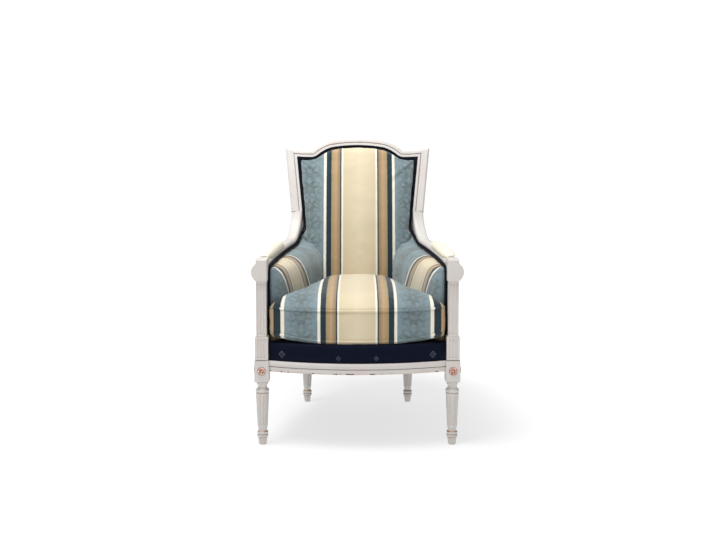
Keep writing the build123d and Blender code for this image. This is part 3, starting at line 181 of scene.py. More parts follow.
class Finish:
    """One procedural material and the nodes that make it."""

    def __init__(self, name):
        self.material = bpy.data.materials.new(name)
        self.material.use_nodes = True
        self.tree = self.material.node_tree
        self.tree.nodes.clear()

    def node(self, kind, settings=None, inputs=None, out=0):
        """A node with its settings, then its sockets' values or links."""
        made = self.tree.nodes.new(kind)
        for name, value in (settings or {}).items():
            if name == "stops":
                self.set_stops(made.color_ramp, value)
            else:
                setattr(made, name, value)
        for name, value in (inputs or {}).items():
            if isinstance(value, Socket):
                self.tree.links.new(value.socket, made.inputs[name])
            else:
                made.inputs[name].default_value = value
        return Socket(self, made.outputs[out]) if made.outputs else None

    def set_stops(self, ramp, stops):
        while len(ramp.elements) < len(stops):
            ramp.elements.new(0.5)
        for element, (place, colour) in zip(ramp.elements, stops):
            element.position = place
            element.color = colour

    def maths(self, operation, *values):
        return self.node("ShaderNodeMath", {"operation": operation}, dict(enumerate(values)))

    def split(self, vector):
        """The three numbers of a vector."""
        made = self.node("ShaderNodeSeparateXYZ", None, {"Vector": vector}).socket.node
        return [Socket(self, output) for output in made.outputs]

    def join(self, x, y, z=0.0):
        return self.node("ShaderNodeCombineXYZ", None, {0: x, 1: y, 2: z})

    def place(self):
        return self.node("ShaderNodeTexCoord", None, None, "Object")

    def cloth_place(self, name=CLOTH_MAP):
        return self.node("ShaderNodeUVMap", {"uv_map": name})

    def noise(self, vector, scale, detail=2.0, roughness=0.5):
        inputs = {"Vector": vector, "Scale": scale, "Detail": detail, "Roughness": roughness}
        return self.node("ShaderNodeTexNoise", None, inputs)

    def step(self, value, low, high):
        """0 below low, 1 above high, and smooth between."""
        settings = {"interpolation_type": "SMOOTHSTEP"}
        return self.node("ShaderNodeMapRange", settings, {"Value": value, "From Min": low, "From Max": high})

    def mix(self, factor, first, second):
        settings = {"data_type": "RGBA"}
        inputs = {"Factor": factor, 6: first, 7: second}
        return self.node("ShaderNodeMix", settings, inputs, 2)

    def bump(self, height, distance, normal=None, strength=1.0):
        inputs = {"Height": height, "Distance": distance, "Strength": strength}
        if normal is not None:
            inputs["Normal"] = normal
        return self.node("ShaderNodeBump", None, inputs)

    def surface(self, **sockets):
        """The finished shader, with its sockets named in words joined by underscores."""
        inputs = {name.replace("_", " "): value for name, value in sockets.items()}
        shader = self.node("ShaderNodeBsdfPrincipled", None, inputs)
        self.node("ShaderNodeOutputMaterial", None, {"Surface": shader})
        return self.material


def colour(red, green, blue):
    """A display colour, 0 to 255, as the shader's linear one."""
    linear = [((c / 255 + 0.055) / 1.055) ** 2.4 if c > 10 else c / 255 / 12.92 for c in (red, green, blue)]
    return (*linear, 1.0)


def weave(finish, across, along, thread):
    """Height of a plain weave, from 0 to 1."""
    turn = math.pi / thread
    over = finish.maths("SINE", across * turn)
    under = finish.maths("SINE", along * turn)
    return 0.5 + over * under * 0.5


def striped_fabric():
    """Cover fabric: woven stripes, with tone-on-tone foliage in the blue bands."""
    finish = Finish("striped_fabric")
    cloth = finish.cloth_place()
    across, along, _ = finish.split(cloth)
    waver = (finish.noise(cloth, 60.0, 1.0) - 0.5) * 0.0012
    folded = finish.maths("PINGPONG", across + waver, HALF_REPEAT)
    stops = []
    blend = 0.35
    for low, high, first, second in STRIPES:
        stops.append(((low + blend) / 1000 / HALF_REPEAT, colour(*first)))
        stops.append(((high - blend) / 1000 / HALF_REPEAT, colour(*second)))
    bands = finish.node("ShaderNodeValToRGB", {"stops": stops}, {"Fac": folded / HALF_REPEAT})
    blue = finish.step(folded, BLUE_FROM - 0.0004, BLUE_FROM + 0.0004)
    place = finish.cloth_place(FIGURE_MAP)
    aside, up, _ = finish.split(place)
    foliage = damask(finish, HALF_REPEAT - finish.maths("PINGPONG", aside, HALF_REPEAT), up)
    mottle = finish.noise(place, 26.0, 2.0)
    ground = finish.mix(mottle, colour(115, 136, 143), colour(134, 153, 159))
    leaf_tone = finish.mix(mottle, colour(82, 91, 89), colour(98, 106, 102))
    figured = finish.mix(foliage, ground, leaf_tone)
    base = finish.mix(blue, bands, figured)
    slub = finish.noise(finish.join(across * 60.0, along * 900.0), 1.0, 3.0)
    base = finish.mix(0.12 + slub * 0.16, base, finish.mix(0.5, base, colour(62, 54, 44)))
    threads = weave(finish, across, along, 0.0011)
    raised = threads * 0.6 + foliage * blue * 0.5 + slub * 0.3
    normal = finish.bump(raised, 0.0004)
    rough = 0.78 - foliage * blue * 0.16
    return finish.surface(
        Base_Color=base, Roughness=rough, Normal=normal, Sheen_Weight=0.4, Sheen_Roughness=0.5,
        Specular_IOR_Level=0.2,
    )


def damask(finish, aside, along):
    """Foliage in an upright row: rosettes of leaves and scrolls, 1 on a leaf and 0 on the ground."""
    cell = 0.132
    row = 0.05
    drift = finish.join(aside, along)
    stir = (finish.noise(drift, 45.0, 2.0) - 0.5) * 0.026
    p = finish.maths("PINGPONG", aside, row) + stir
    q = finish.maths("PINGPONG", along + stir, cell / 2) - cell / 4
    reach = finish.maths("SQRT", p * p * 0.95 + q * q)
    turn = finish.maths("ARCTAN2", p, q)
    leaves = finish.maths("COSINE", turn * 7.0)
    edge = 0.025 + leaves * 0.0075
    flower = finish.step(edge - reach, -0.007, 0.008)
    heart = finish.step(0.008 - reach, -0.003, 0.003)
    ring = abs(reach - (0.0345 + finish.maths("COSINE", turn * 12.0) * 0.004))
    scroll = finish.step(0.006 - ring, -0.003, 0.005)
    ribs = finish.step(finish.maths("SINE", turn * 28.0), 0.2, 1.0)
    leafy = finish.maths("MAXIMUM", flower * (1.0 - heart * 0.6), scroll * 0.6)
    worn = finish.noise(drift, 30.0, 2.0)
    speckle = finish.noise(drift, 260.0, 2.0)
    return leafy * (1.0 - ribs * 0.25) * (0.3 + worn * 0.7) * (0.7 + speckle * 0.8)


def navy_cloth(name, figured):
    """Dark blue cloth, nearly black for the cords or with a sparse row of small faint lozenges."""
    shades = (colour(5, 10, 25), colour(9, 18, 42)) if figured else (colour(7, 10, 19), colour(13, 20, 33))
    finish = Finish(name)
    place = finish.place()
    x, y, z = finish.split(place)
    tone = finish.noise(place, 35.0, 3.0)
    base = finish.mix(tone, *shades)
    if figured:
        inner, outer = [abs(abs(x) - place_across) for place_across in LOZENGES]
        aside = finish.maths("MINIMUM", inner, outer)
        at_side = abs(x) > 0.15
        drop = z - LOZENGE_HEIGHT - at_side * 0.006
        lozenge = (aside * 1.1 + abs(drop)) * (1.0 - at_side * 0.3)
        outline = finish.step(lozenge, 0.0050, 0.0058) * (1.0 - finish.step(lozenge, 0.0078, 0.0086))
        dot = 1.0 - finish.step(lozenge, 0.0022, 0.0028)
        over_edge = finish.step(z, DECK_FRONT_TOP, DECK_FRONT_TOP + 0.002)
        figure = finish.maths("MAXIMUM", outline, dot) * (1.0 - over_edge)
        worn = finish.noise(place, 150.0, 2.0)
        base = finish.mix(figure * (worn * 0.5), base, colour(140, 148, 166))
    threads = weave(finish, x + y, z, 0.0012)
    normal = finish.bump(threads, 0.00035)
    rough = 0.72 + tone * 0.12
    return finish.surface(
        Base_Color=base, Roughness=rough, Normal=normal, Sheen_Weight=0.02, Sheen_Roughness=0.4,
        Specular_IOR_Level=0.1,
    )


def cream_fabric():
    """Cream cover of the arm pads with a faint woven figure."""
    finish = Finish("cream_fabric")
    cloth = finish.cloth_place()
    across, along, _ = finish.split(cloth)
    figure = damask(finish, across, along)
    tone = finish.noise(cloth, 40.0, 3.0)
    ground = finish.mix(tone, colour(236, 228, 208), colour(246, 239, 222))
    base = finish.mix(figure * 0.35, ground, colour(222, 210, 184))
    threads = weave(finish, across, along, 0.0011)
    normal = finish.bump(threads * 0.6 + figure * 0.4, 0.0004)
    return finish.surface(
        Base_Color=base, Roughness=0.8 - figure * 0.12, Normal=normal, Sheen_Weight=0.25, Sheen_Roughness=0.5,
        Specular_IOR_Level=0.3,
    )


def coarse_cloth(name, dark, light, thread):
    """Plain hidden cloth: hessian, webbing, stuffing canvas or the black cotton underneath."""
    finish = Finish(name)
    place = finish.place()
    x, y, z = finish.split(place)
    threads = weave(finish, x, y + z, thread)
    fibres = finish.noise(place, 300.0, 4.0)
    base = finish.mix(threads * 0.6 + fibres * 0.4, colour(*dark), colour(*light))
    normal = finish.bump(threads + fibres * 0.4, thread * 0.4)
    rough = 0.85 + fibres * 0.1
    return finish.surface(Base_Color=base, Roughness=rough, Normal=normal, Specular_IOR_Level=0.2)


def painted_wood():
    """Old off-white paint: grey patina and painted shade in the hollows, rubbed edges, a few chips and gilt
    rings on the feet.
    """
    finish = Finish("painted_wood")
    place = finish.place()
    x, y, z = finish.split(place)
    soft = finish.node("ShaderNodeBevel", {"samples": 4}, {"Radius": 0.0016})
    flat = finish.node("ShaderNodeNewGeometry", None, None, "Normal")
    likeness = finish.node("ShaderNodeVectorMath", {"operation": "DOT_PRODUCT"}, {0: soft, 1: flat}, "Value")
    edge = finish.step(1.0 - likeness, 0.015, 0.16)
    hollow_inputs = {"Distance": 0.014}
    # The occlusion node finds the hollows; the grey laid into them below is partly patina and partly painted
    # shade
    light = finish.node("ShaderNodeAmbientOcclusion", {"samples": 6, "only_local": True}, hollow_inputs, "AO")
    patina_and_shade = 1.0 - light
    cloudy = finish.noise(place, 14.0, 5.0, 0.6)
    fine = finish.noise(place, 160.0, 4.0, 0.6)
    paint = finish.mix(cloudy, colour(197, 193, 189), colour(217, 212, 206))
    blush = finish.step(finish.noise(place, 9.0, 3.0), 0.46, 0.7)
    paint = finish.mix(blush * 0.3, paint, colour(212, 193, 187))
    # Painted shade with patina: the hollows go grey-mauve, darkest where the occlusion is deepest
    paint = finish.mix(finish.step(patina_and_shade, 0.12, 0.8) * 0.85, paint, colour(134, 120, 116))
    rubbed = edge * finish.step(fine + cloudy * 0.4, 0.62, 0.78)
    paint = finish.mix(rubbed * 0.75, paint, colour(176, 140, 116))
    chip_spots = finish.step(finish.noise(place, 85.0, 3.0, 0.7), 0.63, 0.66)
    chips = chip_spots * finish.step(edge, 0.1, 0.5)
    ragged = z + (fine - 0.5) * 0.0016
    lower_edge = (1.0 - finish.step(ragged, RAIL_SOLE + 0.0045, RAIL_SOLE + 0.0065)) * (z > RAIL_SOLE)
    between = (abs(x) < FRONT_X - BLOCK / 2) * (y < FRONT_Y - 0.012)
    rare = finish.step(abs(x - 0.02), 0.03, 0.09) * 0.09
    knocks = finish.step(finish.noise(finish.join(x * 34.0, 0.3), 1.0, 3.0, 0.7) - rare, 0.49, 0.52)
    warm = finish.step(0.0016 - abs(ragged - RAIL_EDGE_LINE), -0.001, 0.001) * between
    paint = finish.mix(warm * (0.3 + cloudy * 0.5), paint, colour(206, 160, 124))
    chips = finish.maths("MAXIMUM", chips, lower_edge * between * knocks)
    paint = finish.mix(chips, paint, colour(74, 48, 34))

    def gilt_ring(height, half_width):
        return finish.step(half_width - abs(ragged - height), -0.0003, 0.0003)

    upper_ring, lower_ring = [gilt_ring(height, 0.0013) for height in FOOT_RINGS]
    foot_rings = finish.maths("MAXIMUM", upper_ring, lower_ring)
    rings = finish.maths("MAXIMUM", foot_rings, gilt_ring(COLLAR_RING, 0.0011) * 0.6)
    gilt = rings * finish.step(fine, 0.28, 0.5)
    base = finish.mix(gilt * 0.9, paint, finish.mix(cloudy, colour(138, 92, 52), colour(190, 140, 84)))
    brush = finish.noise(finish.join(x * 90.0, y * 90.0, z * 12.0), 4.0, 3.0)
    normal = finish.bump(brush * 0.5 + fine * 0.4 - chips * 2.0 - rubbed * 0.5, 0.0003, soft)
    rough = 0.42 + cloudy * 0.16 + patina_and_shade * 0.2 - gilt * 0.12
    return finish.surface(
        Base_Color=base, Roughness=rough, Metallic=gilt * 0.35, Normal=normal, Specular_IOR_Level=0.45
    )


def bare_wood():
    """Unpainted beech of the hidden rails and blocks."""
    finish = Finish("bare_beech")
    place = finish.place()
    x, y, z = finish.split(place)
    grain = finish.noise(finish.join(x * 8.0, y * 90.0, z * 90.0), 3.0, 5.0)
    flecks = finish.step(finish.noise(finish.join(x * 60.0, y * 400.0, z * 400.0), 2.0, 2.0), 0.62, 0.7)
    base = finish.mix(grain, colour(168, 120, 80), colour(208, 166, 122))
    base = finish.mix(flecks * 0.5, base, colour(130, 86, 54))
    normal = finish.bump(grain, 0.0003)
    return finish.surface(Base_Color=base, Roughness=0.6 + flecks * 0.1, Normal=normal)


def rosette_paint():
    """Red-brown tint worn to the white ground on the raised petals."""
    finish = Finish("rosette_paint")
    place = finish.place()
    light = finish.node("ShaderNodeAmbientOcclusion", {"samples": 6}, {"Distance": 0.003}, "AO")
    worn = finish.noise(place, 420.0, 4.0, 0.6)
    blotch = finish.noise(place, 170.0, 3.0, 0.6)
    tint = finish.mix(worn, colour(150, 62, 26), colour(208, 106, 54))
    shown = finish.step(light * 0.35 + blotch * 0.9, 0.66, 0.8)
    base = finish.mix(shown * 0.85, tint, colour(226, 212, 202))
    normal = finish.bump(worn, 0.0003)
    return finish.surface(Base_Color=base, Roughness=0.5 + worn * 0.2, Normal=normal)


def plain_steel():
    """Steel of the corner screws."""
    finish = Finish("screw_steel")
    place = finish.place()
    scuff = finish.noise(place, 500.0, 3.0)
    base = finish.mix(scuff, colour(120, 120, 118), colour(176, 176, 172))
    return finish.surface(Base_Color=base, Roughness=0.3 + scuff * 0.25, Metallic=0.9)


def glowing_floor():
    """Studio floor that glows: the glow is painted light, dimmer near the chair so that its shadow stays
    faint, and fully bright farther off.
    """
    finish = Finish("glowing_floor")
    place = finish.place()
    tone = finish.noise(place, 1.5, 2.0)
    base = finish.mix(tone, colour(147, 147, 147), colour(151, 151, 151))
    x, y, _ = finish.split(place)
    away = finish.maths("SQRT", x * x + y * y)
    # Painted light: the floor's own glow, weaker near the chair and full from about a metre away; it also
    # lights the chair from below
    glow = finish.mix(finish.step(away, 0.45, 1.15), (0.69, 0.69, 0.69, 1), (1, 1, 1, 1))
    return finish.surface(
        Base_Color=base, Roughness=0.9, Specular_IOR_Level=0.1, Emission_Color=glow, Emission_Strength=1.0
    )


FINISHES = {
    "painted_wood": painted_wood(),
    "bare_beech": bare_wood(),
    "rosette_paint": rosette_paint(),
    "screw_steel": plain_steel(),
    "striped_fabric": striped_fabric(),
    "navy_cord": navy_cloth("navy_cord", False),
    "cream_fabric": cream_fabric(),
    "navy_fabric": navy_cloth("navy_fabric", True),
    "webbing": coarse_cloth("webbing", (96, 76, 50), (160, 136, 98), 0.0022),
    "hessian": coarse_cloth("hessian", (112, 90, 60), (168, 142, 104), 0.0016),
    "stuffing": coarse_cloth("stuffing", (176, 168, 150), (220, 214, 198), 0.0018),
    "dust_cloth": coarse_cloth("dust_cloth", (10, 10, 11), (26, 26, 28), 0.0011),
}


def copy_of(*nodes):
    """A merged copy of the shapes of some frame pieces."""
    bm = bmesh.new()
    for node in nodes:
        bm.from_mesh(frame["nodes"][node].data)
    bmesh.ops.remove_doubles(bm, verts=bm.verts, dist=0.00002)
    return bm


def turned_towards(bm, facings, limit):
    """Keeps the faces that look one of some ways."""
    ways = [Vector(way).normalized() for way in facings]
    away = [face for face in bm.faces if max(face.normal.dot(way) for way in ways) < limit]
    bmesh.ops.delete(bm, geom=away, context="FACES")


def in_cells(bm, spacing, axes):
    """Cuts a surface along evenly spaced planes, so that it can bend."""
    for axis in axes:
        places = [vert.co[axis] for vert in bm.verts]
        low, high = min(places), max(places)
        normal = Vector((axis == 0, axis == 1, axis == 2))
        count = int((high - low) / spacing)
        for n in range(1, count + 1):
            geometry = bm.verts[:] + bm.edges[:] + bm.faces[:]
            point = normal * (low + (high - low) * n / (count + 1))
            bmesh.ops.bisect_plane(bm, geom=geometry, dist=0.00001, plane_co=point, plane_no=normal)


def part_way(distance, span):
    """How far a distance reaches along a span, from 0 to 1."""
    return min(max(distance / span, 0.0), 1.0)


def remeshed(bm, voxel):
    """The same closed form with an even mesh."""
    mesh = bpy.data.meshes.new("even")
    bm.to_mesh(mesh)
    bm.free()
    body = bpy.data.objects.new("even", mesh)
    bpy.context.scene.collection.objects.link(body)
    modifier = body.modifiers.new("even", "REMESH")
    modifier.mode = "VOXEL"
    modifier.voxel_size = voxel
    evaluated = body.evaluated_get(bpy.context.evaluated_depsgraph_get())
    even = bpy.data.meshes.new_from_object(evaluated)
    bpy.data.objects.remove(body)
    result = bmesh.new()
    result.from_mesh(even)
    return result


def eased(bm, rounds):
    """Smooths a form, rounding its edges."""
    for _ in range(rounds):
        bmesh.ops.smooth_vert(
            bm, verts=bm.verts, factor=0.5, use_axis_x=True, use_axis_y=True, use_axis_z=True
        )


def swollen(bm, amount):
    """Moves a closed form's surface out along its normals."""
    bm.normal_update()
    for vert in bm.verts:
        vert.co += vert.normal * amount


def piece_from(bm, name, slot, body="chair", replaced=()):
    """Makes a finished piece of a mesh, riding on a body."""
    mesh = bpy.data.meshes.new(name)
    bm.to_mesh(mesh)
    bm.free()
    mesh.shade_smooth()
    mesh.materials.append(FINISHES[slot])
    piece = bpy.data.objects.new(name, mesh)
    bpy.context.scene.collection.objects.link(piece)
    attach(piece, body)
    if replaced:
        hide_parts(*replaced)
    return piece


def lay_cloth(piece, rule):
    """Gives a piece its fabric's maps, in metres: the stripes', along the cloth, and the foliage's."""
    mesh = piece.data
    stripes = mesh.uv_layers.new(name=CLOTH_MAP)
    figure = mesh.uv_layers.new(name=FIGURE_MAP)
    for polygon in mesh.polygons:
        for index in polygon.loop_indices:
            vertex = mesh.vertices[mesh.loops[index].vertex_index]
            across, along, aside = rule(vertex.co, polygon.normal, polygon.center)
            stripes.data[index].uv = across, along
            figure.data[index].uv = aside, along


def finer(piece, levels=1):
    """One more subdivision of a piece."""
    modifier = piece.modifiers.new("finer", "SUBSURF")
    modifier.levels = levels
    modifier.render_levels = levels


def stuffed(piece, cap, pressure=4.0, held=None):
    """Lets stuffing press a cover out from inside, by no more than a cap. Held points stay where they are."""
    scene = bpy.context.scene
    cloth = piece.modifiers.new("stuffing", "CLOTH")
    settings = cloth.settings
    settings.quality = 6
    settings.mass = 0.25
    settings.tension_stiffness = 12.0
    settings.compression_stiffness = 12.0
    settings.shear_stiffness = 6.0
    settings.bending_stiffness = 0.4
    settings.use_pressure = True
    settings.uniform_pressure_force = pressure
    settings.effector_weights.gravity = 0.0
    if held is not None:
        group = piece.vertex_groups.new(name="tacked")
        group.add(held, 1.0, "REPLACE")
        settings.vertex_group_mass = "tacked"
    last = 20
    cloth.point_cache.frame_start = 1
    cloth.point_cache.frame_end = last
    for number in range(1, last + 1):
        scene.frame_set(number)
    evaluated = piece.evaluated_get(bpy.context.evaluated_depsgraph_get())
    pressed = [vertex.co.copy() for vertex in evaluated.data.vertices]
    piece.modifiers.remove(cloth)
    if held is not None:
        piece.vertex_groups.clear()
    for vertex, place in zip(piece.data.vertices, pressed):
        move = place - vertex.co
        if move.length > cap:
            move = move * (cap / move.length)
        vertex.co += move
    scene.frame_set(1)


def calmed(piece, rounds):
    """Smooths away the small ripples of a pressed cover."""
    bm = bmesh.new()
    bm.from_mesh(piece.data)
    eased(bm, rounds)
    bm.to_mesh(piece.data)
    bm.free()


def puckered(piece, depth, size, limit=None):
    """Small uneven hollows of cloth over stuffing."""
    mesh = piece.data
    normals = [vertex.normal.copy() for vertex in mesh.vertices]
    for vertex, normal in zip(mesh.vertices, normals):
        strength = noise.noise(vertex.co / size) + 0.5 * noise.noise(vertex.co / size * 2.3)
        share = limit(vertex.co) if limit else 1.0
        vertex.co += normal * depth * strength * share


def mirrored(piece, name, replaced):
    """The left-hand twin of a right-hand piece."""
    bm = bmesh.new()
    bm.from_mesh(piece.data)
    bmesh.ops.scale(bm, verts=bm.verts, vec=(-1, 1, 1))
    bmesh.ops.reverse_faces(bm, faces=bm.faces)
    mesh = bpy.data.meshes.new(name)
    bm.to_mesh(mesh)
    bm.free()
    mesh.shade_smooth()
    mesh.materials.append(piece.data.materials[0])
    twin = bpy.data.objects.new(name, mesh)
    bpy.context.scene.collection.objects.link(twin)
    for modifier in piece.modifiers:
        if modifier.type == "SUBSURF":
            finer(twin, modifier.levels)
        if modifier.type == "SOLIDIFY":
            thickened(twin, modifier.thickness, modifier.offset)
    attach(twin, "chair")
    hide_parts(*replaced)
    return twin


def thickened(piece, thickness, offset=-1.0):
    """Gives a sheet the thickness of its cloth."""
    modifier = piece.modifiers.new("cloth", "SOLIDIFY")
    modifier.thickness = thickness
    modifier.offset = offset


def cord_mesh(points, radius, closed=False):
    """A round cord along some points, as a mesh."""
    curve = bpy.data.curves.new("cord", "CURVE")
    curve.dimensions = "3D"
    curve.bevel_depth = radius
    curve.bevel_resolution = 3
    curve.use_fill_caps = not closed
    spline = curve.splines.new("POLY")
    spline.points.add(len(points) - 1)
    for target, point in zip(spline.points, points):
        target.co = (*point, 1.0)
    spline.use_cyclic_u = closed
    body = bpy.data.objects.new("cord", curve)
    mesh = bpy.data.meshes.new_from_object(body)
    bpy.data.objects.remove(body)
    return mesh


def cord_piece(name, runs, radius, slot, body="chair", replaced=(), closed=False):
    """One piece of one or more cords."""
    bm = bmesh.new()
    for points in runs:
        bm.from_mesh(cord_mesh(points, radius, closed))
    bmesh.ops.remove_doubles(bm, verts=bm.verts, dist=0.00001)
    bmesh.ops.recalc_face_normals(bm, faces=bm.faces)
    return piece_from(bm, name, slot, body, replaced)


class PlanArc:
    """A level arc between two plan points, bowed outwards by a rise."""

    def __init__(self, start, end, rise):
        (x0, y0), (x1, y1) = start, end
        chord = math.dist(start, end)
        self.radius = (chord**2 / 4 + rise**2) / (2 * rise)
        aside = ((y1 - y0) / chord, -(x1 - x0) / chord)
        reach = self.radius - rise
        self.centre = ((x0 + x1) / 2 - aside[0] * reach, (y0 + y1) / 2 - aside[1] * reach)

    def x_at(self, y):
        return self.centre[0] + math.sqrt(self.radius**2 - (y - self.centre[1]) ** 2)

    def heading(self, y):
        return -math.atan2(y - self.centre[1], self.x_at(y) - self.centre[0])


ARM_ARC = PlanArc((FRONT_X, FRONT_Y), (ARM_END_X, FRONT_Y + SWEEP_END[0]), ARM_BOW)


def arm_point(run, outwards, up):
    """A place beside the right arm's top line: behind the front legs, outwards and up, square to the arm."""
    if run <= SWEEP_START[0]:
        height, pitch = ARM_TOP + run * math.tan(ARM_SLOPE), ARM_SLOPE
    else:
        climb = math.sin(ARM_SLOPE) + (run - SWEEP_START[0]) / SWEEP_RADIUS
        pitch = math.asin(min(climb, math.cos(RAKE)))
        height = SWEEP_START[1] + SWEEP_RADIUS * (math.cos(ARM_SLOPE) - math.cos(pitch))
    y = FRONT_Y + run
    heading = ARM_ARC.heading(y)
    level = math.cos(pitch)
    along = Vector((math.sin(heading) * level, math.cos(heading) * level, math.sin(pitch)))
    aside = Vector((math.cos(heading), -math.sin(heading), 0))
    return Vector((ARM_ARC.x_at(y), y, height)) + aside * outwards + aside.cross(along) * up


def on_back(x, rise, out):
    """A place on the raked back: across, up along the rake, and out in front of the frame's face."""
    y = BACK_Y + rise * math.sin(RAKE) - out * math.cos(RAKE)
    return Vector((x, y, RAIL_TOP + rise * math.cos(RAKE) + out * math.sin(RAKE)))


def before_back(place):
    """How far a place lies in front of the back frame's face."""
    return (place.y - BACK_Y) * -math.cos(RAKE) + (place.z - RAIL_TOP) * math.sin(RAKE)


def up_back(place):
    """How far a place lies up along the rake."""
    return (place.y - BACK_Y) * math.sin(RAKE) + (place.z - RAIL_TOP) * math.cos(RAKE)


def arc_points(three, count):
    """Even steps along the circle through three plan points."""
    (ax, ay), (bx, by), (cx, cy) = three
    double = 2 * (ax * (by - cy) + bx * (cy - ay) + cx * (ay - by))
    squares = [x * x + y * y for x, y in three]
    ox = (squares[0] * (by - cy) + squares[1] * (cy - ay) + squares[2] * (ay - by)) / double
    oy = (squares[0] * (cx - bx) + squares[1] * (ax - cx) + squares[2] * (bx - ax)) / double
    start = math.atan2(ay - oy, ax - ox)
    sweep = math.atan2(cy - oy, cx - ox) - start
    sweep = (sweep + math.pi) % (2 * math.pi) - math.pi
    radius = math.hypot(ax - ox, ay - oy)
    turns = [start + sweep * n / count for n in range(count + 1)]
    return [Vector((ox + radius * math.cos(t), oy + radius * math.sin(t))) for t in turns]


def opening_line(inset):
    """Edge of the back's opening, drawn in by an inset: right foot, over the crest, left foot."""
    outline = arc_points(CREST, 24)[12:] + arc_points(SHOULDER, 12)[1:] + arc_points(EAR, 10)[1:]
    depth = CREST_FACE + inset
    moved = []
    for before, after in zip(outline, outline[1:]):
        run = (after - before).normalized()
        inward = Vector((run.y, -run.x))
        moved += [before + inward * depth, after + inward * depth]
    kept = [p for p in moved if min((p - q).length for q in outline) > depth - 0.0004]
    edge = STILE_FACE + inset
    crest = [p for p in kept if p.x < STILE_FOOT + STILE_SPLAY * p.y - edge]
    corner_rise = crest[-1].y
    corner = Vector((STILE_FOOT + STILE_SPLAY * corner_rise - edge, corner_rise))
    count = 40
    stile = []
    for n in range(count + 1):
        rise = corner_rise + (BACK_SOLE - corner_rise) * n / count
        stile.append(Vector((STILE_FOOT + STILE_SPLAY * rise - edge, rise)))
    right = crest + [corner] + stile[1:]
    left = [Vector((-p.x, p.y)) for p in right]
    return right[::-1] + left[1:]


def evened(points, spacing):
    """The same line with evenly spaced points."""
    result = [points[0]]
    carried = 0.0
    for before, after in zip(points, points[1:]):
        span = (after - before).length
        while span > 0 and carried + span >= spacing:
            share = (spacing - carried) / span
            before = before.lerp(after, share)
            span = (after - before).length
            carried = 0.0
            result.append(before)
        carried += span
    return result + [points[-1]]


def frame_finishes():
    """Gives every piece of the frame that stays visible its finish."""
    for part in record["subparts"]:
        node = frame["nodes"][part["node"]]
        node.data.materials.clear()
        node.data.materials.append(FINISHES[part["material_slot"]])


def seat_cushion():
    """Loose box cushion: stuffed cover with a crown, and a piped seam round its top and bottom."""
    bm = remeshed(copy_of("cushion_core"), voxel=0.006)
    eased(bm, rounds=3)
    swollen(bm, amount=0.004)
    cushion = piece_from(bm, "seat_cushion", "striped_fabric", "cushion", ("cushion_cover", "cushion_core"))
    stuffed(cushion, cap=0.005)

    def near_seam(co):
        reach = 0.03
        return math.exp(-abs(co.z - CUSHION_EDGE) / reach)

    puckered(cushion, depth=0.0016, size=0.045)
    puckered(cushion, depth=0.0012, size=0.012, limit=near_seam)
    drawn_to_seams(cushion)
    corner_back = FRONT_Y + 0.06

    def rule(co, normal, middle):
        side = abs(normal.x) > 0.7
        if middle.y < corner_back:
            side = middle.y - CUSHION_CORNER[1] > CUSHION_CORNER[0] - abs(middle.x)
        if side and CUSHION_FOOT < middle.z < CUSHION_EDGE:
            across = CUSHION_CORNER[0] + co.y - CUSHION_CORNER[1]
            return across, co.z, across
        return co.x, co.y + min(co.z - CUSHION_EDGE, 0.0), co.x

    lay_cloth(cushion, rule)
    places = [vertex.co for vertex in cushion.data.vertices]
    tree = BVHTree.FromPolygons(places, [polygon.vertices for polygon in cushion.data.polygons])
    runs = [seam_line(tree, height) for height in (CUSHION_EDGE, CUSHION_FOOT)]
    for vertex in cushion.data.vertices:
        vertex.co += turned_up(vertex.co)
    for run in runs:
        for point in run:
            point += turned_up(point)
    finer(cushion)
    name = "cushion_welts_piped"
    welts = cord_piece(name, runs, WELT_RADIUS, "striped_fabric", "cushion", ("cushion_welts",), True)
    lay_cloth(welts, welt_rule(runs[0] + runs[1]))


def turned_up(co):
    """How the stuffing moves the cushion's front corners: up along the lower edge, and out to the posts."""
    aside = part_way(abs(co.x) - CORNER_FROM, CORNER_SPAN)
    forward = part_way(FRONT_Y + CORNER_DEPTH - co.y, CORNER_DEPTH)
    low = part_way(CUSHION_EDGE - co.z, CUSHION_EDGE - CUSHION_FOOT)
    corner = math.dist((abs(co.x), co.y), CUSHION_CORNER)
    ear = math.exp(-((corner / EAR_SIZE) ** 2))
    lift = CORNER_LIFT * aside**1.6 * forward * low + EAR_LIFT * ear * (1.0 - low)
    limit = PLINTH_INSIDE if co.z + lift < PLINTH_TOP else POST_INSIDE
    out = max(min(EAR_OUT * ear, limit - abs(co.x)), 0.0)
    return Vector((math.copysign(out, co.x), -EAR_FORWARD * ear, lift))


def drawn_to_seams(cushion):
    """Pulls the cover in a little along both seams."""
    pull, reach = 0.0022, 0.006
    for vertex in cushion.data.vertices:
        normal = vertex.normal
        if abs(normal.z) > 0.9:
            continue
        for height in (CUSHION_EDGE, CUSHION_FOOT):
            near = math.exp(-(((vertex.co.z - height) / reach) ** 2))
            vertex.co -= Vector((normal.x, normal.y, 0)) * pull * near


def seam_line(tree, height):
    """Closed line round the cushion at a height, on its surface."""
    middle = Vector((0, CUSHION_MIDDLE, height))
    line = []
    count = 260
    outside, proud = 0.6, WELT_RADIUS * 0.35
    for n in range(count):
        turn = 2 * math.pi * n / count
        way = Vector((math.cos(turn), math.sin(turn), 0))
        hit, _, _, _ = tree.ray_cast(middle + way * outside, -way)
        line.append(hit + way * proud)
    line = evened(line + [line[0]], spacing=0.009)[:-1]
    for _ in range(2):
        line = [(line[n - 1] + line[n] * 2 + line[(n + 1) % len(line)]) / 4 for n in range(len(line))]
    return line


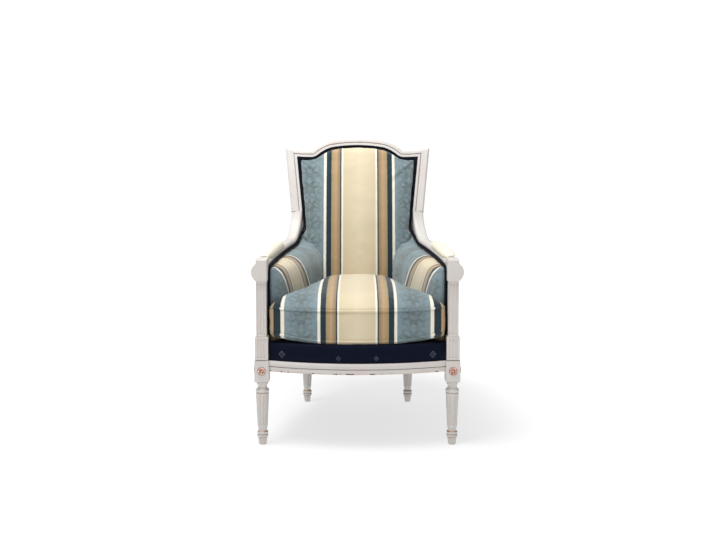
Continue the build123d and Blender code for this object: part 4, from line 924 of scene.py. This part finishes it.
def welt_rule(line):
    """Lets the stripes of the cushion run over its welts."""
    tree = KDTree(len(line))
    for n, point in enumerate(line):
        tree.insert(point, n)
    tree.balance()

    def rule(co, normal, middle):
        _, n, _ = tree.find(co)
        step = line[(n + 1) % len(line)] - line[n - 1]
        if abs(step.y) > 1.5 * abs(step.x):
            across = CUSHION_CORNER[0] + co.y - CUSHION_CORNER[1]
        else:
            across = co.x - turned_up(co).x
        return across, co.z, across

    return rule


def inside_back():
    """Padded inside back, tacked all round inside its frame and filling the corner over the arms."""
    bm = remeshed(copy_of("back_stuffing"), voxel=0.006)
    eased(bm, rounds=3)
    swollen(bm, amount=0.002)
    arm_meets = up_back(arm_point(cord_stations()[-1], CORD_ASIDE, -CORD_DROP))
    corner_fill, corner_size = 0.006, 0.03
    flank, flank_width = 0.17, 0.04
    for vert in bm.verts:
        near = math.exp(-(((up_back(vert.co) - arm_meets) / corner_size) ** 2))
        edge = part_way(abs(vert.co.x) - flank, flank_width)
        vert.co.x += math.copysign(corner_fill * near * edge, vert.co.x)
    tuck_depth, tuck_height, tuck_top = 0.014, 0.012, BACK_SOLE + 0.016
    tuck = on_back(0, 0, 0) - on_back(0, tuck_depth, 0)
    for vert in bm.verts:
        vert.co += tuck * part_way(tuck_top - up_back(vert.co), tuck_height)
    back = piece_from(bm, "inside_back", "striped_fabric", "chair", ("inside_back_cover", "back_stuffing"))
    tacked = 0.002
    held = [vertex.index for vertex in back.data.vertices if before_back(vertex.co) < tacked]
    stuffed(back, cap=0.010, pressure=5.0, held=held)
    puckered(back, depth=0.0012, size=0.05)
    lay_cloth(back, back_rule)
    finer(back)


def back_rule(co, normal, middle):
    """The back's stripes, a little off the middle."""
    across = (co.x - BACK_SHIFT) / BACK_STRETCH
    return across, up_back(co), across


def cord_stations():
    """Where the double cord's points lie along the arm, up to its turn onto the back."""
    count = 60
    runs = [CORD_START + CORD_RUN * n / count for n in range(count + 1)]
    return [run for run in runs if before_back(arm_point(run, CORD_ASIDE, -CORD_DROP)) > CORD_TURN]


def piping():
    """One double cord up the right post, along its arm, round the back and down again on the left."""
    out = BACK_BED + CORD + CORD_CLEAR
    stations = cord_stations()
    foot = up_back(arm_point(stations[-1], CORD_ASIDE, -CORD_DROP)) + CORD_TURN
    knob_bend = 0.006  # the cord turns onto the arm this far below it
    eased_top = foot + 0.06
    rounds = 14
    runs = []
    for strand in (0, 1):
        aside = strand * (2 * CORD + CORD_GAP)
        x = FRONT_X - POST_WIDTH / 2 - KNOB_INSIDE - CORD - CORD_GAP
        y = FRONT_Y + POST_DEPTH / 2 - 3 * CORD - CORD_GAP + aside
        arm = [arm_point(run, CORD_ASIDE, -CORD_DROP - aside) for run in stations]
        right = [Vector((x, y, PLINTH_TOP + CORD_CLEAR)), Vector((x, y, arm[0].z - knob_bend))] + arm
        left = [Vector((-point.x, point.y, point.z)) for point in right]
        back = [on_back(p.x, p.y, out) for p in opening_line(CORD + CORD_GAP + aside) if p.y > foot]
        line = evened(right + back + left[::-1], spacing=0.005)
        for _ in range(rounds):
            softer = [(line[n - 1] + line[n] * 2 + line[n + 1]) / 4 for n in range(1, len(line) - 1)]
            line[1:-1] = [q if up_back(q) < eased_top else p for p, q in zip(line[1:-1], softer)]
        runs.append(line)
    replaced = ("back_piping", "right_arm_piping", "left_arm_piping")
    cord_piece("frame_piping_double", runs, CORD, "navy_cord", "chair", replaced)


def pad_rule(co, normal, middle):
    """The plain cloth of the arm pads."""
    across = co.x - ARM_PAD_X
    return across, co.y, across


def arm_upholstery():
    """Inside arms, arm pads and outside arms, right and left."""
    bm = remeshed(copy_of("right_inside_arm_pad"), voxel=0.005)
    eased(bm, rounds=2)
    swollen(bm, amount=0.002)
    inside = piece_from(bm, "right_inside_arm", "striped_fabric", "chair", ("right_inside_arm_pad",))
    stuffed(inside, cap=0.004, pressure=3.0)
    puckered(inside, depth=0.001, size=0.05)

    def inside_rule(co, normal, middle):
        run = co.y - FRONT_Y
        across = run - ARM_BAND - ARM_LEAN * (ARM_BAND_TOP - co.z)
        if across > BLUE_FROM:
            across = BLUE_FROM + (across - BLUE_FROM) * ARM_BLUE_STRETCH
        return across, co.z, run

    lay_cloth(inside, inside_rule)
    finer(inside)
    twin = mirrored(inside, "left_inside_arm", ("left_inside_arm_pad",))

    bm = remeshed(copy_of("right_arm_pad"), voxel=0.003)
    eased(bm, rounds=4)
    swollen(bm, amount=0.001)
    pad = piece_from(bm, "right_arm_cushion", "cream_fabric", "chair", ("right_arm_pad",))
    stuffed(pad, cap=0.002, pressure=1.0)
    calmed(pad, rounds=10)
    lay_cloth(pad, pad_rule)
    finer(pad)
    twin = mirrored(pad, "left_arm_cushion", ("left_arm_pad",))

    def outside_rule(co, normal, middle):
        across = co.y - FRONT_Y - OUTSIDE_BAND
        return across, co.z, across

    cover = "right_outside_arm_cover"
    outside = panel("right_outside_arm", "striped_fabric", cover, [(1, 0, 0)], bulge=0.003, axes=(1, 2))
    lay_cloth(outside, outside_rule)
    thickened(outside, thickness=0.002)
    twin = mirrored(outside, "left_outside_arm", ("left_outside_arm_cover",))


def panel(name, slot, node, facings, bulge, axes, spacing=0.012, replaced=None, round_edge=0.0):
    """A stretched cover: one side of a frame piece as a fine sheet, lightly padded away from its edges."""
    bm = copy_of(node)
    turned_towards(bm, facings, limit=0.6)
    bmesh.ops.dissolve_limit(bm, angle_limit=math.radians(1), verts=bm.verts, edges=bm.edges)
    if round_edge:
        sharp = [edge for edge in bm.edges if len(edge.link_faces) == 2 and edge.calc_face_angle() > 0.8]
        bmesh.ops.bevel(
            bm, geom=sharp, offset=round_edge, segments=4, profile=0.5, affect="EDGES", material=-1
        )
    in_cells(bm, spacing, axes)
    bmesh.ops.triangulate(bm, faces=[face for face in bm.faces if len(face.verts) > 4])
    bm.normal_update()
    rim = [vert.co.copy() for vert in bm.verts if vert.is_boundary]
    tree = KDTree(len(rim))
    for n, point in enumerate(rim):
        tree.insert(point, n)
    tree.balance()
    moves = []
    flat_rim = 0.03
    for vert in bm.verts:
        distance = tree.find(vert.co)[2]
        moves.append(vert.normal * bulge * (1 - math.exp(-distance / flat_rim)))
    for vert, move in zip(bm.verts, moves):
        vert.co += move
    return piece_from(bm, name, slot, "chair", replaced or (node,))


def seat_and_outside_covers():
    """Navy deck under the cushion, outside back and the black cloth under the seat."""
    facings = [(0, -1, 0), (0.5, -1, 0), (-0.5, -1, 0), (0, 0, 1)]
    hidden = ("deck_cover", "seat_stuffing")
    deck = panel(
        "deck", "navy_fabric", "deck_cover", facings, bulge=0.0015, axes=(0, 1), spacing=0.02,
        replaced=hidden, round_edge=0.006,
    )
    thickened(deck, thickness=0.0015)
    behind = (0, math.cos(RAKE), -math.sin(RAKE))
    outside = panel(
        "outside_back", "striped_fabric", "outside_back_cover", [behind], bulge=0.004, axes=(0, 2),
        spacing=0.014,
    )
    lay_cloth(outside, back_rule)
    thickened(outside, thickness=0.0015)
    dust = panel(
        "dust_cloth_under_seat", "dust_cloth", "dust_cover", [(0, 0, -1)], bulge=0.003, axes=(0, 1),
        spacing=0.02,
    )
    thickened(dust, thickness=0.0008)


def flower():
    """Carved flower: a ring of cupped petals, a second ring between them and a beaded heart."""
    bm = bmesh.new()

    def bud(place, size, turn):
        made = bmesh.ops.create_uvsphere(bm, u_segments=12, v_segments=8, radius=1.0)
        matrix = Matrix.Rotation(turn, 4, "Z") @ Matrix.Translation(place) @ Matrix.Diagonal((*size, 1))
        bmesh.ops.transform(bm, matrix=matrix, verts=made["verts"])

    petals = 8
    for n in range(petals):
        turn = 2 * math.pi * n / petals
        bud((0.0098, 0, 0.0012), (0.0052, 0.0034, 0.0022), turn)
        bud((0.0112, 0, 0.0002), (0.0040, 0.0030, 0.0016), turn + math.pi / petals)
        bud((0.0052, 0, 0.0026), (0.0020, 0.0016, 0.0016), turn + math.pi / petals)
    bud((0, 0, 0.0026), (0.0036, 0.0036, 0.0028), 0)
    rim = bmesh.ops.create_cone(bm, cap_ends=True, segments=40, radius1=0.0153, radius2=0.0145, depth=0.0016)
    bmesh.ops.translate(bm, verts=rim["verts"], vec=(0, 0, -0.0007))
    bmesh.ops.scale(bm, verts=bm.verts, vec=(FLOWER_SIZE, FLOWER_SIZE, 1))
    return bm


def rosettes():
    """The flower on the front and the outer face of both front blocks."""
    shape = bpy.data.meshes.new("flower")
    bm = flower()
    bm.to_mesh(shape)
    bm.free()
    bm = bmesh.new()
    for side in (-1, 1):
        front = Matrix.Translation((side * FRONT_X, FRONT_Y - BLOCK / 2, BLOCK_MIDDLE))
        outer = Matrix.Translation((side * (FRONT_X + BLOCK / 2), FRONT_Y, BLOCK_MIDDLE))
        turns = (Matrix.Rotation(math.radians(90), 4, "X"), Matrix.Rotation(side * math.radians(90), 4, "Y"))
        for place, turn in zip((front, outer), turns):
            start = len(bm.verts)
            bm.from_mesh(shape)
            bm.verts.ensure_lookup_table()
            bmesh.ops.transform(bm, matrix=place @ turn, verts=bm.verts[start:])
    piece_from(bm, "block_flowers", "rosette_paint", "chair", ("block_rosettes",))


def studio():
    """Floor, soft light and a camera at the photograph's height and distance."""
    bm = bmesh.new()
    bmesh.ops.create_grid(bm, x_segments=8, y_segments=8, size=8.0)
    mesh = bpy.data.meshes.new("floor")
    bm.to_mesh(mesh)
    bm.free()
    mesh.materials.append(glowing_floor())
    floor = bpy.data.objects.new("floor", mesh)
    bpy.context.scene.collection.objects.link(floor)

    world = bpy.data.worlds.new("studio")
    world.use_nodes = True
    tree = world.node_tree
    seen = tree.nodes["Background"]
    seen.inputs["Strength"].default_value = 1.05
    seen.inputs["Color"].default_value = (1, 1, 1, 1)
    soft = tree.nodes.new("ShaderNodeBackground")
    soft.inputs["Color"].default_value = (0.96, 0.98, 1, 1)
    soft.inputs["Strength"].default_value = 0.42
    either = tree.nodes.new("ShaderNodeMixShader")
    tree.links.new(tree.nodes.new("ShaderNodeLightPath").outputs["Is Camera Ray"], either.inputs["Fac"])
    tree.links.new(soft.outputs["Background"], either.inputs[1])
    tree.links.new(seen.outputs["Background"], either.inputs[2])
    tree.links.new(either.outputs["Shader"], tree.nodes["World Output"].inputs["Surface"])
    bpy.context.scene.world = world
    lamps = (("key", (-0.7, -0.6, 3.1), 1.5, 88.0), ("fill", (1.2, -3.2, 1.6), 2.4, 8.0))
    chair_middle = Vector((0, 0, 0.45))
    for name, place, size, power in lamps:
        light = bpy.data.lights.new(name, "AREA")
        light.size = size
        light.energy = power
        lamp = bpy.data.objects.new(name, light)
        lamp.location = place
        aim = chair_middle - Vector(place)
        lamp.rotation_euler = aim.to_track_quat("-Z", "Y").to_euler()
        bpy.context.scene.collection.objects.link(lamp)

    camera_data = bpy.data.cameras.new("camera")
    sensor = 36.0
    picture_width = 716  # picture points, as the next two are
    focus = 904.0
    eye_line = 112.6  # above the picture's middle
    camera_data.sensor_width = sensor
    camera_data.lens = sensor * focus / picture_width
    tilt = math.radians(4.5)
    horizon = eye_line - focus * math.tan(tilt)
    camera_data.shift_y = -horizon / picture_width
    camera = bpy.data.objects.new("camera", camera_data)
    eye_distance, eye_height = 2.8, 0.903
    camera.location = (0.002, FRONT_Y - eye_distance, eye_height)
    camera.rotation_euler = (math.radians(90) - tilt, 0, 0)
    bpy.context.scene.collection.objects.link(camera)
    bpy.context.scene.camera = camera
    bpy.context.scene.view_settings.view_transform = "Standard"


frame_finishes()
studio()
seat_cushion()
inside_back()
piping()
arm_upholstery()
seat_and_outside_covers()
rosettes()
